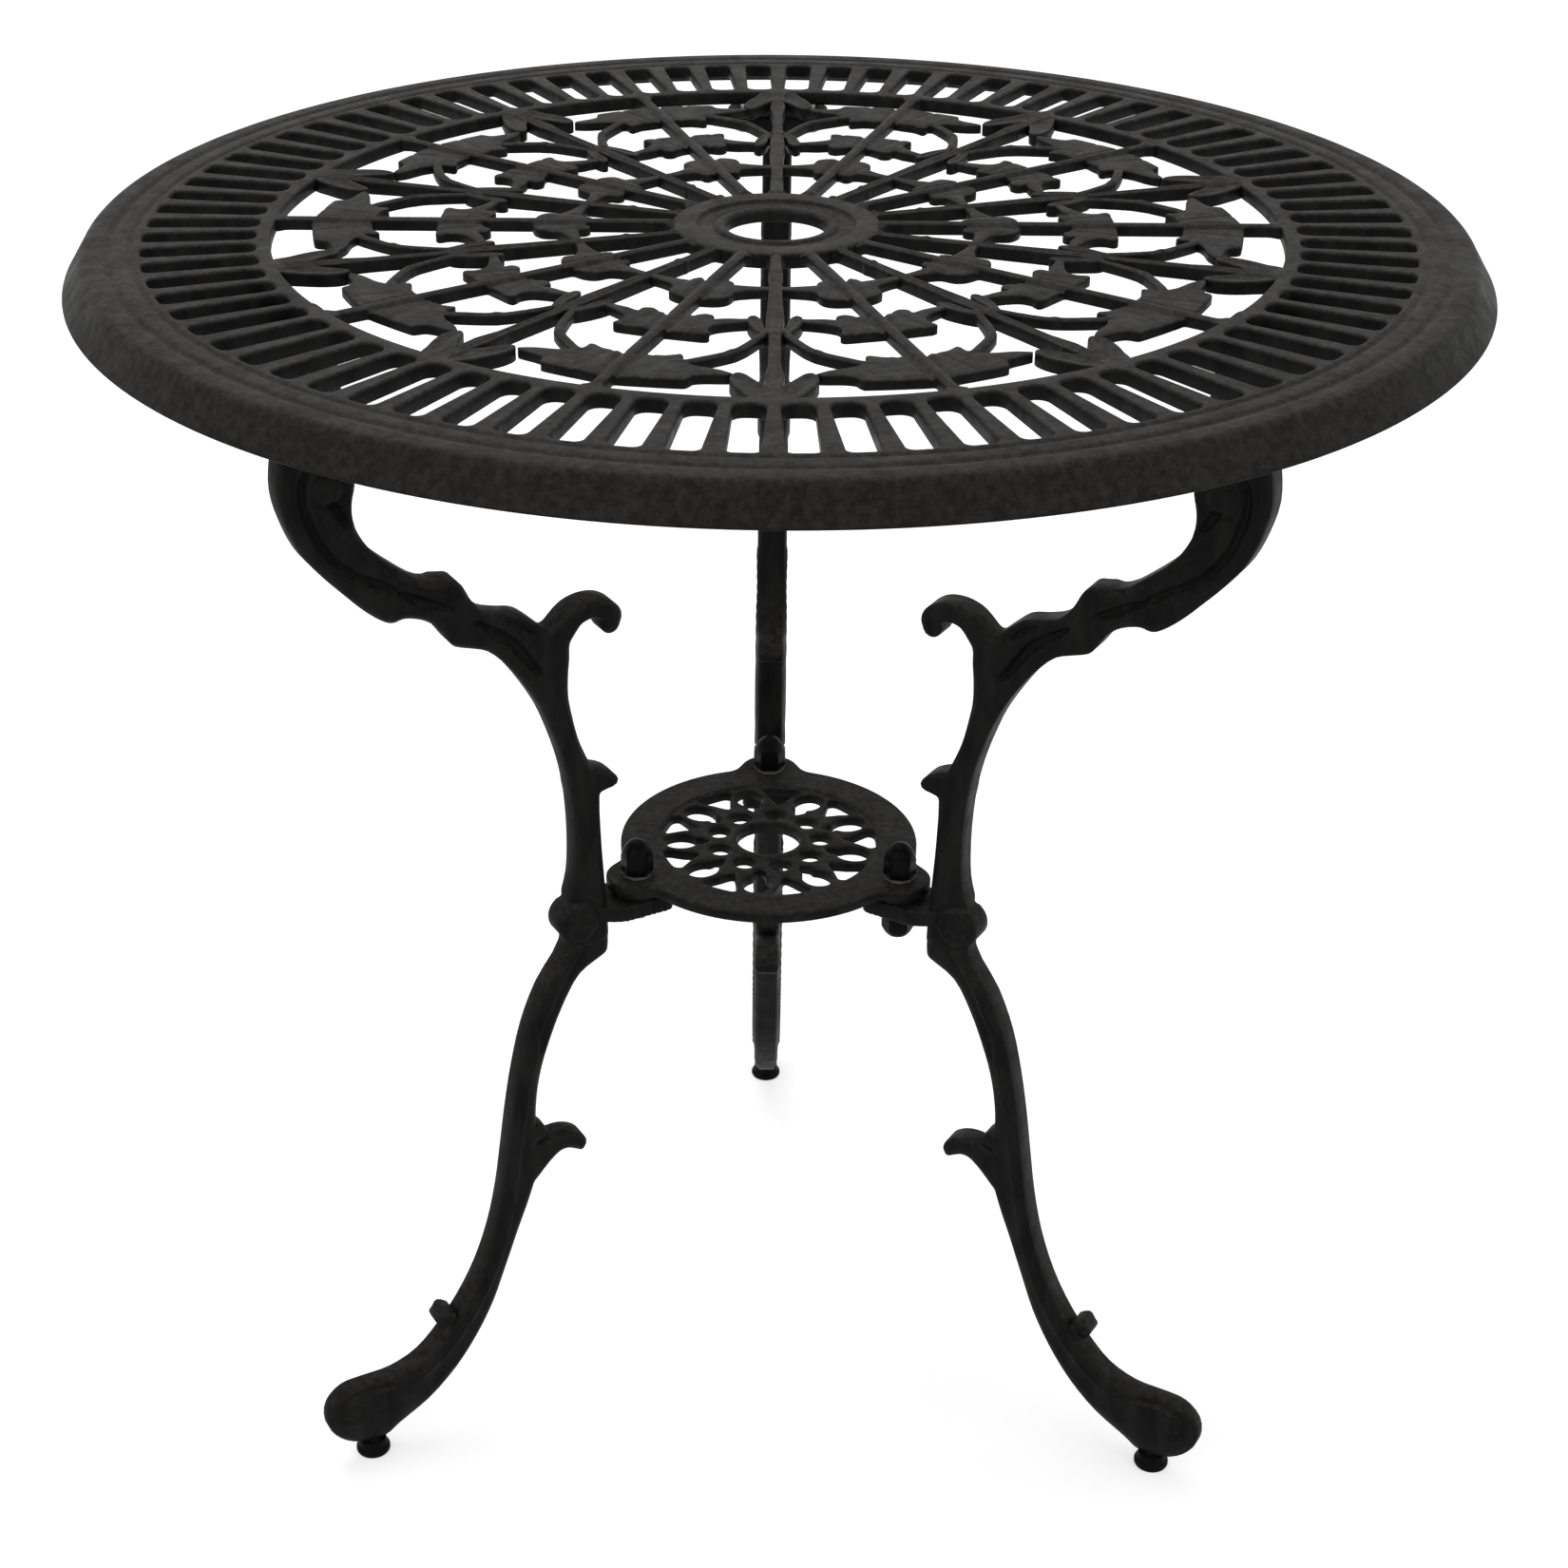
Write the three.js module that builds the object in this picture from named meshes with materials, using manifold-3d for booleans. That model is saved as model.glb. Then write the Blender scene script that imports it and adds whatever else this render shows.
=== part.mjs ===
// Patio table with a parasol hole: a pierced cast top stands on three S-shaped cast legs,
// which a pierced lower plate ties together. Millimetres, +Z up, origin on the floor at the
// table's axis. The rear leg is on +Y, and the front legs are a third of a turn either side.
import * as THREE from 'three';
import { mergeVertices } from 'three/addons/utils/BufferGeometryUtils.js';
import Module from 'manifold-3d';

const wasm = await Module();
wasm.setup();

// Whole table
const tableHeight = 667;
const topRadius = 340;
const seatGap = 0.3;
const cutOverrun = 2;
const fuseDepth = 3;

// Table top, the skirt and the slotted ring, from the edge inward
const skirtSpread = 10;
const skirtDrop = 17.2;
const skirtWall = 3.6;
const shoulderDrop = 1.8;
const shoulderRound = 4;
const outerGrooveInset = 12.5;
const grooveSpacing = 11;
const grooveWidth = 5;
const grooveDepth = 1;
const slotCount = 80;
const slotInset = 4;
const slotLength = 53.5;
const slotWidth = 14;
const slotCorner = 4;
const innerBandWidth = 7;
const ringThickness = 7;
const rimSides = 60;

// Table top, the hub and the spokes
const hubRadius = 50.3;
const hubThickness = 8.4;
const parasolHoleRadius = 24.3;
const hubBeadRadius = 35.7;
const hubBeadRise = 0.8;
const hubSides = 24;
const plainSpokeCount = 10;
const plainSpokeWidth = 5.4;
const plainSpokeRidge = 0.8;

// Table top, the leaves and curls between the spokes
const leafInset = 1.2;
const curlWidth = 4.4;
const curlSteps = 3;

// A leaf's start and length are shares of the way from the hub to the ring, and its span is a
// share of the way to the next vine. The outline's shares are of its half width and its length.
const largeLeaf = {
  startShare: 0.734,
  lengthShare: 0.19,
  spanShare: 0.847,
  outlineShares: [
    [0, 0.19], [0.2, 0.15], [0.44, 0], [0.45, 0.22], [0.6, 0.37], [1, 0.45],
    [0.7, 0.7], [0.6, 0.86], [0, 1],
  ],
};
const middleLeaf = {
  startShare: 0.46,
  lengthShare: 0.138,
  spanShare: 0.806,
  outlineShares: [
    [0, 0.21], [0.44, 0], [0.42, 0.32], [1, 0.13],
    [0.8, 0.4], [0.53, 0.67], [0.6, 0.88], [0, 1],
  ],
};
const smallLeaf = {
  startShare: 0.2175,
  lengthShare: 0.159,
  spanShare: 1.055,
  outlineShares: [
    [0, 0.08], [0.24, 0], [0.33, 0.23], [1, 0.28],
    [0.5, 0.62], [0.46, 0.82], [0, 1],
  ],
};
const fieldLeaves = [largeLeaf, middleLeaf, smallLeaf];

// A vine's outline from the hub to the ring: shares of its petals' half width and of the field's
// length. It takes in a joint, the pair of leaflets at its node and the two petals at the ring.
const vineHalfWidth = 18.6;
const vineOutlineShares = [
  [0.145, 0], [0.205, 0.14], [0.16, 0.155], [0.22, 0.46], [0.19, 0.52], [0.5, 0.465],
  [0.63, 0.52], [0.5, 0.56], [0.14, 0.6], [0.14, 0.78], [0.26, 0.87], [0.68, 0.835], [0.97, 0.83],
  [0.95, 0.9], [0.5, 1],
];

// Where a curl starts on its vine, bends and ends under the large leaf: shares of the large
// leaf's half width across, and of its radius outward.
const curlStartShare = [0.94, 0.815];
const curlBendShare = [0.96, 0.995];
const curlEndShare = [0.52, 1.07];

// Lower plate
const plateTop = 324.5;
const plateThickness = 6;
const plateRadius = 80;
const earRadius = 18;
const earThickness = 9.5;
const earFillet = 12;
const plateStepRadius = 62;
const plateStep = 0.8;
const plateHoleRadius = 17.3;
const cellCount = 9;
const cellTurnDegrees = 3;
const roundCellRadius = 6;
const roundCellPlace = 28.5;
const diamondPlace = 36.5;
const diamondLength = 8;
const diamondWidth = 7;
const ovalPlace = 47.5;
const ovalLength = 19;
const ovalWidth = 13;
const wedgeInnerPlace = 41.5;
const wedgeOuterPlace = 58;
const wedgeWidth = 17;
const cellSides = 8;
const plateArcSteps = 8;
const earArcSteps = 7;
const filletArcSteps = 2;

// Bolt, washers, nut and caps at each ear
const boltDiameter = 6;
const boltHoleDiameter = 7;
const boltHeadFlats = 10;
const boltHeadHeight = 4;
const boltReach = 4;
const nutHeight = 5.2;
const washerDiameter = 17;
const washerThickness = 1.5;
const capFlats = 15.4;
const capSkirt = 9;
const nutCapHeight = 18.5;
const boltCapHeight = 15;
const fastenerSides = 10;
const capRings = 3;

// Legs
const legNames = ['rear', 'left', 'right'];
const legThickness = 16.4;
const legEdgeThickness = 9;
const kneeReach = 30;
const headReach = 4;
const footSpread = 4;
const headThickness = 7;
const headLength = 34;
const headWidth = 56;
const headCorner = 9;
const headScrewSpacing = 36;
const tongueThickness = 9;
const tongueReach = 15;
const tongueWidth = 30;
const tongueCorner = 7;
const tongueShoulder = 13;
const cornerSteps = 3;
const channelDepth = 2;

// Each leg station joins a point on the outer edge to one on the inner edge. Below the plate
// its shares are of the way from the knee to the foot, and of the height up to the plate.
const shinStationShares = [
  [1.185, 0.126, 1.184, 0.085], [1.13, 0.159, 1.135, 0.05], [1.014, 0.162, 1.014, 0.025],
  [0.9, 0.161, 0.897, 0.035], [0.792, 0.18, 0.757, 0.078], [0.704, 0.213, 0.637, 0.126],
  [0.689, 0.243, 0.571, 0.16], [0.628, 0.252, 0.534, 0.181], [0.538, 0.319, 0.414, 0.277],
  [0.469, 0.391, 0.329, 0.374], [0.424, 0.465, 0.265, 0.44], [0.379, 0.579, 0.246, 0.578],
  [0.336, 0.694, 0.207, 0.69], [0.264, 0.807, 0.101, 0.793], [0.171, 0.872, -0.05, 0.866],
  [0.13, 0.94, -0.079, 0.921], [0.093, 0.992, -0.07, 0.995],
];

// Above the plate they are of the way from the knee to the head, and of the height between.
const armStationShares = [
  [0.075, 0.063, -0.062, 0.063], [0.083, 0.192, -0.057, 0.15], [0.136, 0.295, 0.03, 0.288],
  [0.18, 0.345, 0.061, 0.363], [0.238, 0.391, 0.06, 0.41], [0.31, 0.434, 0.118, 0.468],
  [0.404, 0.47, 0.253, 0.516], [0.5, 0.484, 0.452, 0.562], [0.551, 0.507, 0.52, 0.605],
  [0.603, 0.532, 0.625, 0.608], [0.7, 0.544, 0.72, 0.633], [0.766, 0.545, 0.81, 0.662],
  [0.848, 0.577, 0.842, 0.684], [0.956, 0.627, 0.877, 0.7], [1.03, 0.67, 0.885, 0.724],
  [1.09, 0.715, 0.868, 0.748], [1.14, 0.775, 0.855, 0.775], [1.165, 0.85, 0.849, 0.832],
  [1.12, 0.957, 0.88, 0.957], [1.088, 1.01, 0.912, 1.01],
];
const channelFirstStation = 9;
const channelLastStation = 18;
const ridgeShare = 0.48;
const channelShares = [0.38, 0.62];

// Hooks and thorn: centre across and up, as on the stations, then half width and half depth.
const hookWidth = 20;
const armHookShares = [
  [0.12, 0.42, 0.5, 0.36], [0.066, 0.47, 0.4, 0.34], [0, 0.487, 0.33, 0.31],
  [-0.074, 0.492, 0.31, 0.28], [-0.136, 0.478, 0.32, 0.28], [-0.14, 0.46, 0.2, 0.2],
];
const thornShares = [
  [0.01, 0.196, 0.45, 0.3], [-0.074, 0.194, 0.3, 0.26], [-0.11, 0.188, 0.14, 0.14],
];
const shinHookShares = [
  [0.28, 0.51, 0.5, 0.36], [0.164, 0.527, 0.43, 0.34], [0.093, 0.528, 0.35, 0.31],
  [0.046, 0.519, 0.27, 0.26], [0.025, 0.505, 0.16, 0.18],
];
const hookSides = 6;

// Round reliefs on the leg's sides: centre across and up, as on the stations.
const reliefRise = 0.8;
const reliefSides = 8;
const kneeBossRadius = 11.5;
const kneeBossShare = [0.057, 0.946];
const footBossRadius = 10.5;
const footBossShare = [1.08, 0.095];
const voluteEyeRadius = 8.5;
const voluteEyeShare = [1, 0.77];

// Screws that hold the head to the top, and their bosses under the ring
const bossRadius = 6;
const bossDrop = 4;
const screwReach = 6;

// Glides
const glideHeight = 9;
const glideRadius = 9.5;
const glideWaistRadius = 7.5;
const glideLipHeight = 3;
const glideStemRadius = 4;
const glideStemLength = 12;

// Radii that follow from the edge inward, and those of the legs that follow from them
const shoulderRadius = topRadius - skirtSpread;
const outerGrooveRadius = shoulderRadius - outerGrooveInset;
const innerGrooveRadius = outerGrooveRadius - grooveSpacing;
const slotOuterRadius = innerGrooveRadius - slotInset;
const slotInnerRadius = slotOuterRadius - slotLength;
const ringInnerRadius = slotInnerRadius - innerBandWidth;
const headRadius = ringInnerRadius + headReach;
const footRadius = headRadius + footSpread;
const boltCircleRadius = plateRadius;
const kneeRadius = boltCircleRadius + kneeReach;

// Levels that the pieces share
const ringUnderside = tableHeight - ringThickness;
const leafTop = tableHeight - leafInset;
const headTop = ringUnderside - bossDrop - seatGap;
const headUnderside = headTop - headThickness;
const earUnderside = plateTop - earThickness;
const tongueTop = earUnderside - seatGap;
const tongueUnderside = tongueTop - tongueThickness;
const upperWasherBase = plateTop + seatGap;
const nutBase = upperWasherBase + washerThickness + seatGap;
const lowerWasherTop = tongueUnderside - seatGap;
const boltHeadTop = lowerWasherTop - washerThickness - seatGap;
const screwHoleTop = ringUnderside - bossDrop + screwReach + seatGap;

const degrees = Math.PI / 180;
const fullTurn = 2 * Math.PI;
const mid = (a, b) => (a + b) / 2;

// The turn of each leg about the axis, from +X
const legTurns = Object.fromEntries(
  legNames.map((name, i) => [name, fullTurn / 4 + i * fullTurn / legNames.length]),
);

// Where a leaf starts, how long it is and how far it spreads to either side
const fieldWidth = ringInnerRadius - hubRadius;
const leafRadius = (leaf) => hubRadius + leaf.startShare * fieldWidth;
const leafLength = (leaf) => leaf.lengthShare * fieldWidth;
const leafHalfWidth = (leaf) => (
  leaf.spanShare * leafRadius(leaf) * Math.sin(fullTurn / 2 / plainSpokeCount)
);

// A closed geometry as a solid that can be joined and cut, and back again
function solidOf(geometry) {
  const bare = geometry.clone();
  bare.deleteAttribute('normal');
  bare.deleteAttribute('uv');
  const merged = mergeVertices(bare);
  const mesh = new wasm.Mesh({
    numProp: 3,
    vertProperties: new Float32Array(merged.attributes.position.array),
    triVerts: new Uint32Array(merged.index.array),
  });
  return new wasm.Manifold(mesh);
}

function geometryOf(solid) {
  const mesh = solid.getMesh();
  const geometry = new THREE.BufferGeometry();
  geometry.setAttribute('position', new THREE.BufferAttribute(mesh.vertProperties, 3));
  geometry.setIndex(new THREE.BufferAttribute(mesh.triVerts, 1));
  return geometry;
}

const joined = (parts) => parts.reduce((whole, part) => whole.add(part));
const cut = (whole, tools) => tools.reduce((rest, tool) => rest.subtract(tool), whole);

// A flat outline as an upright prism between two levels
function prism(outline, bottom, top) {
  const shape = outline instanceof THREE.Shape ? outline : new THREE.Shape(outline);
  const options = { depth: top - bottom, bevelEnabled: false, curveSegments: 1 };
  return solidOf(new THREE.ExtrudeGeometry(shape, options).translate(0, 0, bottom));
}

// A round or six-sided bar along Z
function bar(radius, bottom, top, sides = fastenerSides) {
  const geometry = new THREE.CylinderGeometry(radius, radius, top - bottom, sides);
  return solidOf(geometry.rotateX(Math.PI / 2).translate(0, 0, mid(bottom, top)));
}

const hexBar = (flats, bottom, top) => bar(flats / 2 / Math.cos(Math.PI / 6), bottom, top, 6);

// A profile of radius and height, closed on itself, turned about Z
function revolved(profile, sides) {
  const points = profile.map(([radius, height]) => new THREE.Vector2(radius, height));
  points.push(points[0].clone());
  return solidOf(new THREE.LatheGeometry(points, sides).rotateX(Math.PI / 2));
}

// A row of closed rings with equal numbers of points, skinned and capped at both ends. Each
// ring runs clockwise when it is seen from the far end of the row.
function lofted(rings) {
  const ringSize = rings[0].length;
  const centre = (ring) => ring.reduce((sum, point) => sum.add(point), new THREE.Vector3())
    .divideScalar(ringSize);
  const points = [...rings.flat(), centre(rings[0]), centre(rings.at(-1))];
  const startCentre = rings.length * ringSize;
  const endCentre = startCentre + 1;
  const index = [];
  for (let i = 0; i < ringSize; i += 1) {
    const next = (i + 1) % ringSize;
    for (let k = 0; k + 1 < rings.length; k += 1) {
      const a = k * ringSize + i;
      const b = k * ringSize + next;
      index.push(a, b + ringSize, b, a, a + ringSize, b + ringSize);
    }
    const lastRing = startCentre - ringSize;
    index.push(startCentre, i, next);
    index.push(endCentre, lastRing + next, lastRing + i);
  }
  const geometry = new THREE.BufferGeometry().setFromPoints(points);
  geometry.setIndex(index);
  return solidOf(geometry);
}

// An outline given on one side of the radial line through its middle, with its mirror image
function mirroredOutline(half) {
  const otherHalf = half.filter(([across]) => across > 0)
    .map(([across, out]) => [-across, out])
    .reverse();
  return [...half, ...otherHalf];
}

// Points given across and out from the axis, on the radial line at an angle from +X
function onRadialLine(points, angle) {
  return points.map(([across, out]) => new THREE.Vector2(
    out * Math.cos(angle) + across * Math.sin(angle),
    out * Math.sin(angle) - across * Math.cos(angle),
  ));
}

// Table top: the slotted ring with its two grooves and its sloping skirt
function slottedRing() {
  const top = tableHeight;
  const skirtBottom = tableHeight - skirtDrop;
  const groove = (radius) => [
    [radius - grooveWidth / 2, top],
    [radius, top - grooveDepth],
    [radius + grooveWidth / 2, top],
  ];
  const ring = revolved([
    [ringInnerRadius, ringUnderside],
    [shoulderRadius - shoulderRound, ringUnderside],
    [topRadius - skirtWall, skirtBottom],
    [topRadius, skirtBottom],
    [shoulderRadius, top - shoulderDrop],
    [shoulderRadius - shoulderRound, top],
    ...groove(outerGrooveRadius).reverse(),
    ...groove(innerGrooveRadius).reverse(),
    [ringInnerRadius, top],
  ], rimSides);
  const half = slotWidth / 2;
  const slotOutline = mirroredOutline([
    [half - slotCorner, slotInnerRadius],
    [half, slotInnerRadius + slotCorner],
    [half, slotOuterRadius],
  ]);
  const slots = [];
  for (let i = 0; i < slotCount; i += 1) {
    const angle = (i + 0.5) * fullTurn / slotCount;
    slots.push(prism(onRadialLine(slotOutline, angle), ringUnderside - cutOverrun, top + cutOverrun));
  }
  return cut(ring, slots);
}

// Table top: the hub with a raised bead round the parasol hole
function hub() {
  const face = tableHeight - hubBeadRise;
  return revolved([
    [parasolHoleRadius, tableHeight - hubThickness],
    [hubRadius, tableHeight - hubThickness],
    [hubRadius, face],
    [hubBeadRadius, face],
    [hubBeadRadius - hubBeadRise, tableHeight],
    [parasolHoleRadius, tableHeight],
  ], hubSides);
}

// Table top: one plain spoke, a bar with a low ridge along it
function plainSpoke(angle) {
  const half = plainSpokeWidth / 2;
  const section = [
    [-half, ringUnderside],
    [half, ringUnderside],
    [half, tableHeight - plainSpokeRidge],
    [0, tableHeight],
    [-half, tableHeight - plainSpokeRidge],
  ];
  const ends = [hubRadius - fuseDepth, ringInnerRadius + fuseDepth];
  return lofted(ends.map((out) => section.map(([across, height]) => {
    const [place] = onRadialLine([[across, out]], angle);
    return new THREE.Vector3(place.x, place.y, height);
  })));
}

// Table top: one vine, from the hub to its petals at the ring
function vine(angle) {
  const fieldStart = hubRadius - fuseDepth;
  const fieldLength = ringInnerRadius + fuseDepth / 2 - fieldStart;
  const side = vineOutlineShares.map(([across, along]) => [
    across * vineHalfWidth,
    fieldStart + along * fieldLength,
  ]);
  return prism(onRadialLine(mirroredOutline(side), angle), ringUnderside, tableHeight);
}

// Table top: the three leaves that a plain spoke crosses
function spokeLeaves(angle) {
  return joined(fieldLeaves.map((leaf) => {
    const half = leaf.outlineShares.map(([across, along]) => [
      across * leafHalfWidth(leaf),
      leafRadius(leaf) + along * leafLength(leaf),
    ]);
    return prism(onRadialLine(mirroredOutline(half), angle), ringUnderside, leafTop);
  }));
}

// Table top: a curl from the vine's node round to the large leaf, on one side of a plain spoke
function curl(angle, mirror) {
  const place = ([across, out]) => new THREE.Vector2(
    mirror * across * leafHalfWidth(largeLeaf),
    out * leafRadius(largeLeaf),
  );
  const path = new THREE.QuadraticBezierCurve(
    place(curlStartShare),
    place(curlBendShare),
    place(curlEndShare),
  );
  const edges = [[], []];
  for (let i = 0; i <= curlSteps; i += 1) {
    const centre = path.getPoint(i / curlSteps);
    const along = path.getTangent(i / curlSteps);
    const across = new THREE.Vector2(along.y, -along.x).multiplyScalar(mirror * curlWidth / 2);
    edges[0].push([centre.x + across.x, centre.y + across.y]);
    edges[1].unshift([centre.x - across.x, centre.y - across.y]);
  }
  const outline = onRadialLine([...edges[0], ...edges[1]], angle);
  return prism(mirror > 0 ? outline : outline.reverse(), ringUnderside, leafTop);
}

// The two screw places of one leg: out from the axis and across
const screwPlaces = [-1, 1].map((side) => [side * headScrewSpacing / 2, headRadius]);

function tableTop() {
  const parts = [slottedRing(), hub()];
  for (let i = 0; i < plainSpokeCount; i += 1) {
    const angle = i * fullTurn / plainSpokeCount;
    const vineAngle = (i + 0.5) * fullTurn / plainSpokeCount;
    parts.push(plainSpoke(angle), spokeLeaves(angle), vine(vineAngle), curl(angle, 1), curl(angle, -1));
  }
  const holes = [];
  for (const turn of Object.values(legTurns)) {
    for (const place of onRadialLine(screwPlaces, turn)) {
      const bossBottom = ringUnderside - bossDrop;
      const bossTop = ringUnderside + fuseDepth / 3;
      const holeRadius = boltDiameter / 2 + seatGap;
      parts.push(bar(bossRadius, bossBottom, bossTop).translate(place.x, place.y, 0));
      const hole = bar(holeRadius, bossBottom - cutOverrun, screwHoleTop);
      holes.push(hole.translate(place.x, place.y, 0));
    }
  }
  return cut(joined(parts), holes);
}

// Lower plate: the outer edge, a circle with three filleted ears
function plateOutline() {
  const reach = plateRadius + earFillet;
  const span = earRadius + earFillet;
  const cosine = (reach ** 2 + boltCircleRadius ** 2 - span ** 2) / (2 * reach * boltCircleRadius);
  const filletTurn = Math.acos(cosine);
  const arc = (centre, radius, start, end, steps) => {
    const points = [];
    for (let i = 0; i < steps; i += 1) {
      const turn = start + (end - start) * i / steps;
      points.push(new THREE.Vector2(Math.cos(turn), Math.sin(turn)).multiplyScalar(radius).add(centre));
    }
    return points;
  };
  const polar = (radius, turn) => new THREE.Vector2(Math.cos(turn), Math.sin(turn)).multiplyScalar(radius);
  const outline = [];
  const turns = Object.values(legTurns);
  for (const [i, ear] of turns.entries()) {
    const nextEar = turns[i + 1] ?? turns[0] + fullTurn;
    const earCentre = polar(boltCircleRadius, ear);
    const before = polar(reach, ear - filletTurn);
    const after = polar(reach, ear + filletTurn);
    const earStart = before.clone().sub(earCentre).angle();
    const earEnd = after.clone().sub(earCentre).angle();
    const earSweep = (earEnd - earStart + fullTurn) % fullTurn;
    const filletSweep = -Math.acos(
      (reach ** 2 + span ** 2 - boltCircleRadius ** 2) / (2 * reach * span),
    );
    const beforeStart = ear - filletTurn + Math.PI;
    outline.push(...arc(before, earFillet, beforeStart, beforeStart + filletSweep, filletArcSteps));
    outline.push(...arc(earCentre, earRadius, earStart, earStart + earSweep, earArcSteps));
    const afterStart = earEnd + Math.PI;
    outline.push(...arc(after, earFillet, afterStart, afterStart + filletSweep, filletArcSteps));
    const edgeEnd = nextEar - filletTurn;
    outline.push(...arc(new THREE.Vector2(), plateRadius, ear + filletTurn, edgeEnd, plateArcSteps));
  }
  return outline;
}

// Lower plate: the four kinds of opening in each ninth of its openwork
function plateCells() {
  const cells = [];
  const low = plateTop - earThickness - cutOverrun;
  const high = plateTop + cutOverrun;
  const step = fullTurn / cellCount;
  const halfDiamond = diamondWidth / 2;
  const diamond = [
    [0, diamondPlace - diamondLength / 2], [halfDiamond, diamondPlace],
    [0, diamondPlace + diamondLength / 2], [-halfDiamond, diamondPlace],
  ];
  const oval = [];
  for (let i = 0; i < cellSides; i += 1) {
    const turn = i * fullTurn / cellSides;
    oval.push([
      -Math.cos(turn) * ovalWidth / 2,
      ovalPlace - Math.sin(turn) * ovalLength / 2,
    ]);
  }
  const halfWedge = wedgeWidth / 2;
  const wedgeCorner = (wedgeOuterPlace - wedgeInnerPlace) / 5;
  const wedge = mirroredOutline([
    [wedgeCorner / 3, wedgeInnerPlace],
    [halfWedge - wedgeCorner / 3, wedgeOuterPlace - 2 * wedgeCorner],
    [halfWedge - wedgeCorner, wedgeOuterPlace - wedgeCorner / 3],
    [wedgeCorner / 2, wedgeOuterPlace],
  ]);
  for (let i = 0; i < cellCount; i += 1) {
    const angle = cellTurnDegrees * degrees + i * step;
    const between = angle + step / 2;
    const [roundPlace] = onRadialLine([[0, roundCellPlace]], angle);
    cells.push(bar(roundCellRadius, low, high, cellSides).translate(roundPlace.x, roundPlace.y, 0));
    cells.push(prism(onRadialLine(wedge, angle), low, high));
    cells.push(prism(onRadialLine(diamond, between), low, high));
    cells.push(prism(onRadialLine(oval, between), low, high));
  }
  return cells;
}

function lowerPlate() {
  const disc = prism(plateOutline(), plateTop - plateThickness, plateTop);
  const parts = [disc];
  const cuts = [
    ...plateCells(),
    bar(plateHoleRadius, plateTop - earThickness - cutOverrun, plateTop + cutOverrun, hubSides / 2),
    bar(plateStepRadius, plateTop - plateStep, plateTop + cutOverrun, hubSides),
  ];
  for (const turn of Object.values(legTurns)) {
    const [place] = onRadialLine([[0, boltCircleRadius]], turn);
    parts.push(bar(earRadius - earThickness / 4, earUnderside, plateTop - plateThickness / 2)
      .translate(place.x, place.y, 0));
    cuts.push(bar(boltHoleDiameter / 2, earUnderside - cutOverrun, plateTop + cutOverrun)
      .translate(place.x, place.y, 0));
  }
  return cut(joined(parts), cuts);
}

// Legs, each made on the XZ plane with X outward and then turned to its angle
const shinPoint = (across, up) => [
  kneeRadius + across * (footRadius - kneeRadius),
  up * plateTop,
];
const armPoint = (across, up) => [
  kneeRadius + across * (headRadius - kneeRadius),
  plateTop + up * (headUnderside - plateTop),
];

function legStations() {
  const station = (point) => ([outerAcross, outerUp, innerAcross, innerUp]) => [
    point(outerAcross, outerUp),
    point(innerAcross, innerUp),
  ];
  return {
    shin: shinStationShares.map(station(shinPoint)),
    arm: armStationShares.map(station(armPoint)),
  };
}

// A point at a share of the way from a station's inner edge to its outer edge
function acrossStation([outer, inner], share, depth) {
  const x = inner[0] + share * (outer[0] - inner[0]);
  const z = inner[1] + share * (outer[1] - inner[1]);
  return new THREE.Vector3(x, depth, z);
}

function legSection(station) {
  const face = legThickness / 2;
  const edge = legEdgeThickness / 2;
  const side = [[0, edge], [ridgeShare, face], [1, edge]];
  const front = side.map(([share, depth]) => acrossStation(station, share, depth));
  const back = side.map(([share, depth]) => acrossStation(station, share, -depth)).reverse();
  return [...front, ...back];
}

// The sunk band along each side of the arm
function armChannel(stations, side) {
  const face = legThickness / 2;
  const levels = [face - channelDepth, face + channelDepth].map((depth) => side * depth);
  const rings = stations.slice(channelFirstStation, channelLastStation).map((station) => [
    acrossStation(station, channelShares[0], levels[0]),
    acrossStation(station, channelShares[1], levels[0]),
    acrossStation(station, channelShares[1], levels[1]),
    acrossStation(station, channelShares[0], levels[1]),
  ]);
  return lofted(side > 0 ? rings.map((ring) => ring.reverse()) : rings);
}

// A tapering hook or thorn with rounded sections along its centres
function hook(shares, point) {
  const centres = shares.map(([across, up]) => new THREE.Vector2(...point(across, up)));
  const rings = shares.map(([, , halfWidth, halfDepth], i) => {
    const ahead = centres[Math.min(i + 1, centres.length - 1)];
    const behind = centres[Math.max(i - 1, 0)];
    const along = ahead.clone().sub(behind).normalize();
    const ring = [];
    for (let k = 0; k < hookSides; k += 1) {
      const turn = k * fullTurn / hookSides;
      const width = Math.cos(turn) * halfWidth * hookWidth;
      const depth = Math.sin(turn) * halfDepth * hookWidth;
      ring.push(new THREE.Vector3(centres[i].x - along.y * width, depth, centres[i].y + along.x * width));
    }
    return ring;
  });
  return lofted(rings);
}

// A round relief that stands a little proud of both sides of the leg
function relief(radius, [x, z]) {
  const face = legThickness / 2 + reliefRise;
  return bar(radius, -face, face, reliefSides).rotate([90, 0, 0]).translate(x, 0, z);
}

// The flat head under the ring, with rounded corners and two screw holes
function legHead() {
  const halfWidth = headWidth / 2;
  const halfLength = headLength / 2;
  const outline = [
    [headRadius - halfLength, -halfWidth + headCorner],
    [headRadius - halfLength + headCorner, -halfWidth],
    [headRadius + halfLength - headCorner, -halfWidth],
    [headRadius + halfLength, -halfWidth + headCorner],
  ];
  const mirror = outline.map(([x, y]) => [x, -y]).reverse();
  const points = [...outline, ...mirror].map(([x, y]) => new THREE.Vector2(x, y));
  return prism(points, headUnderside, headTop);
}

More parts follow.
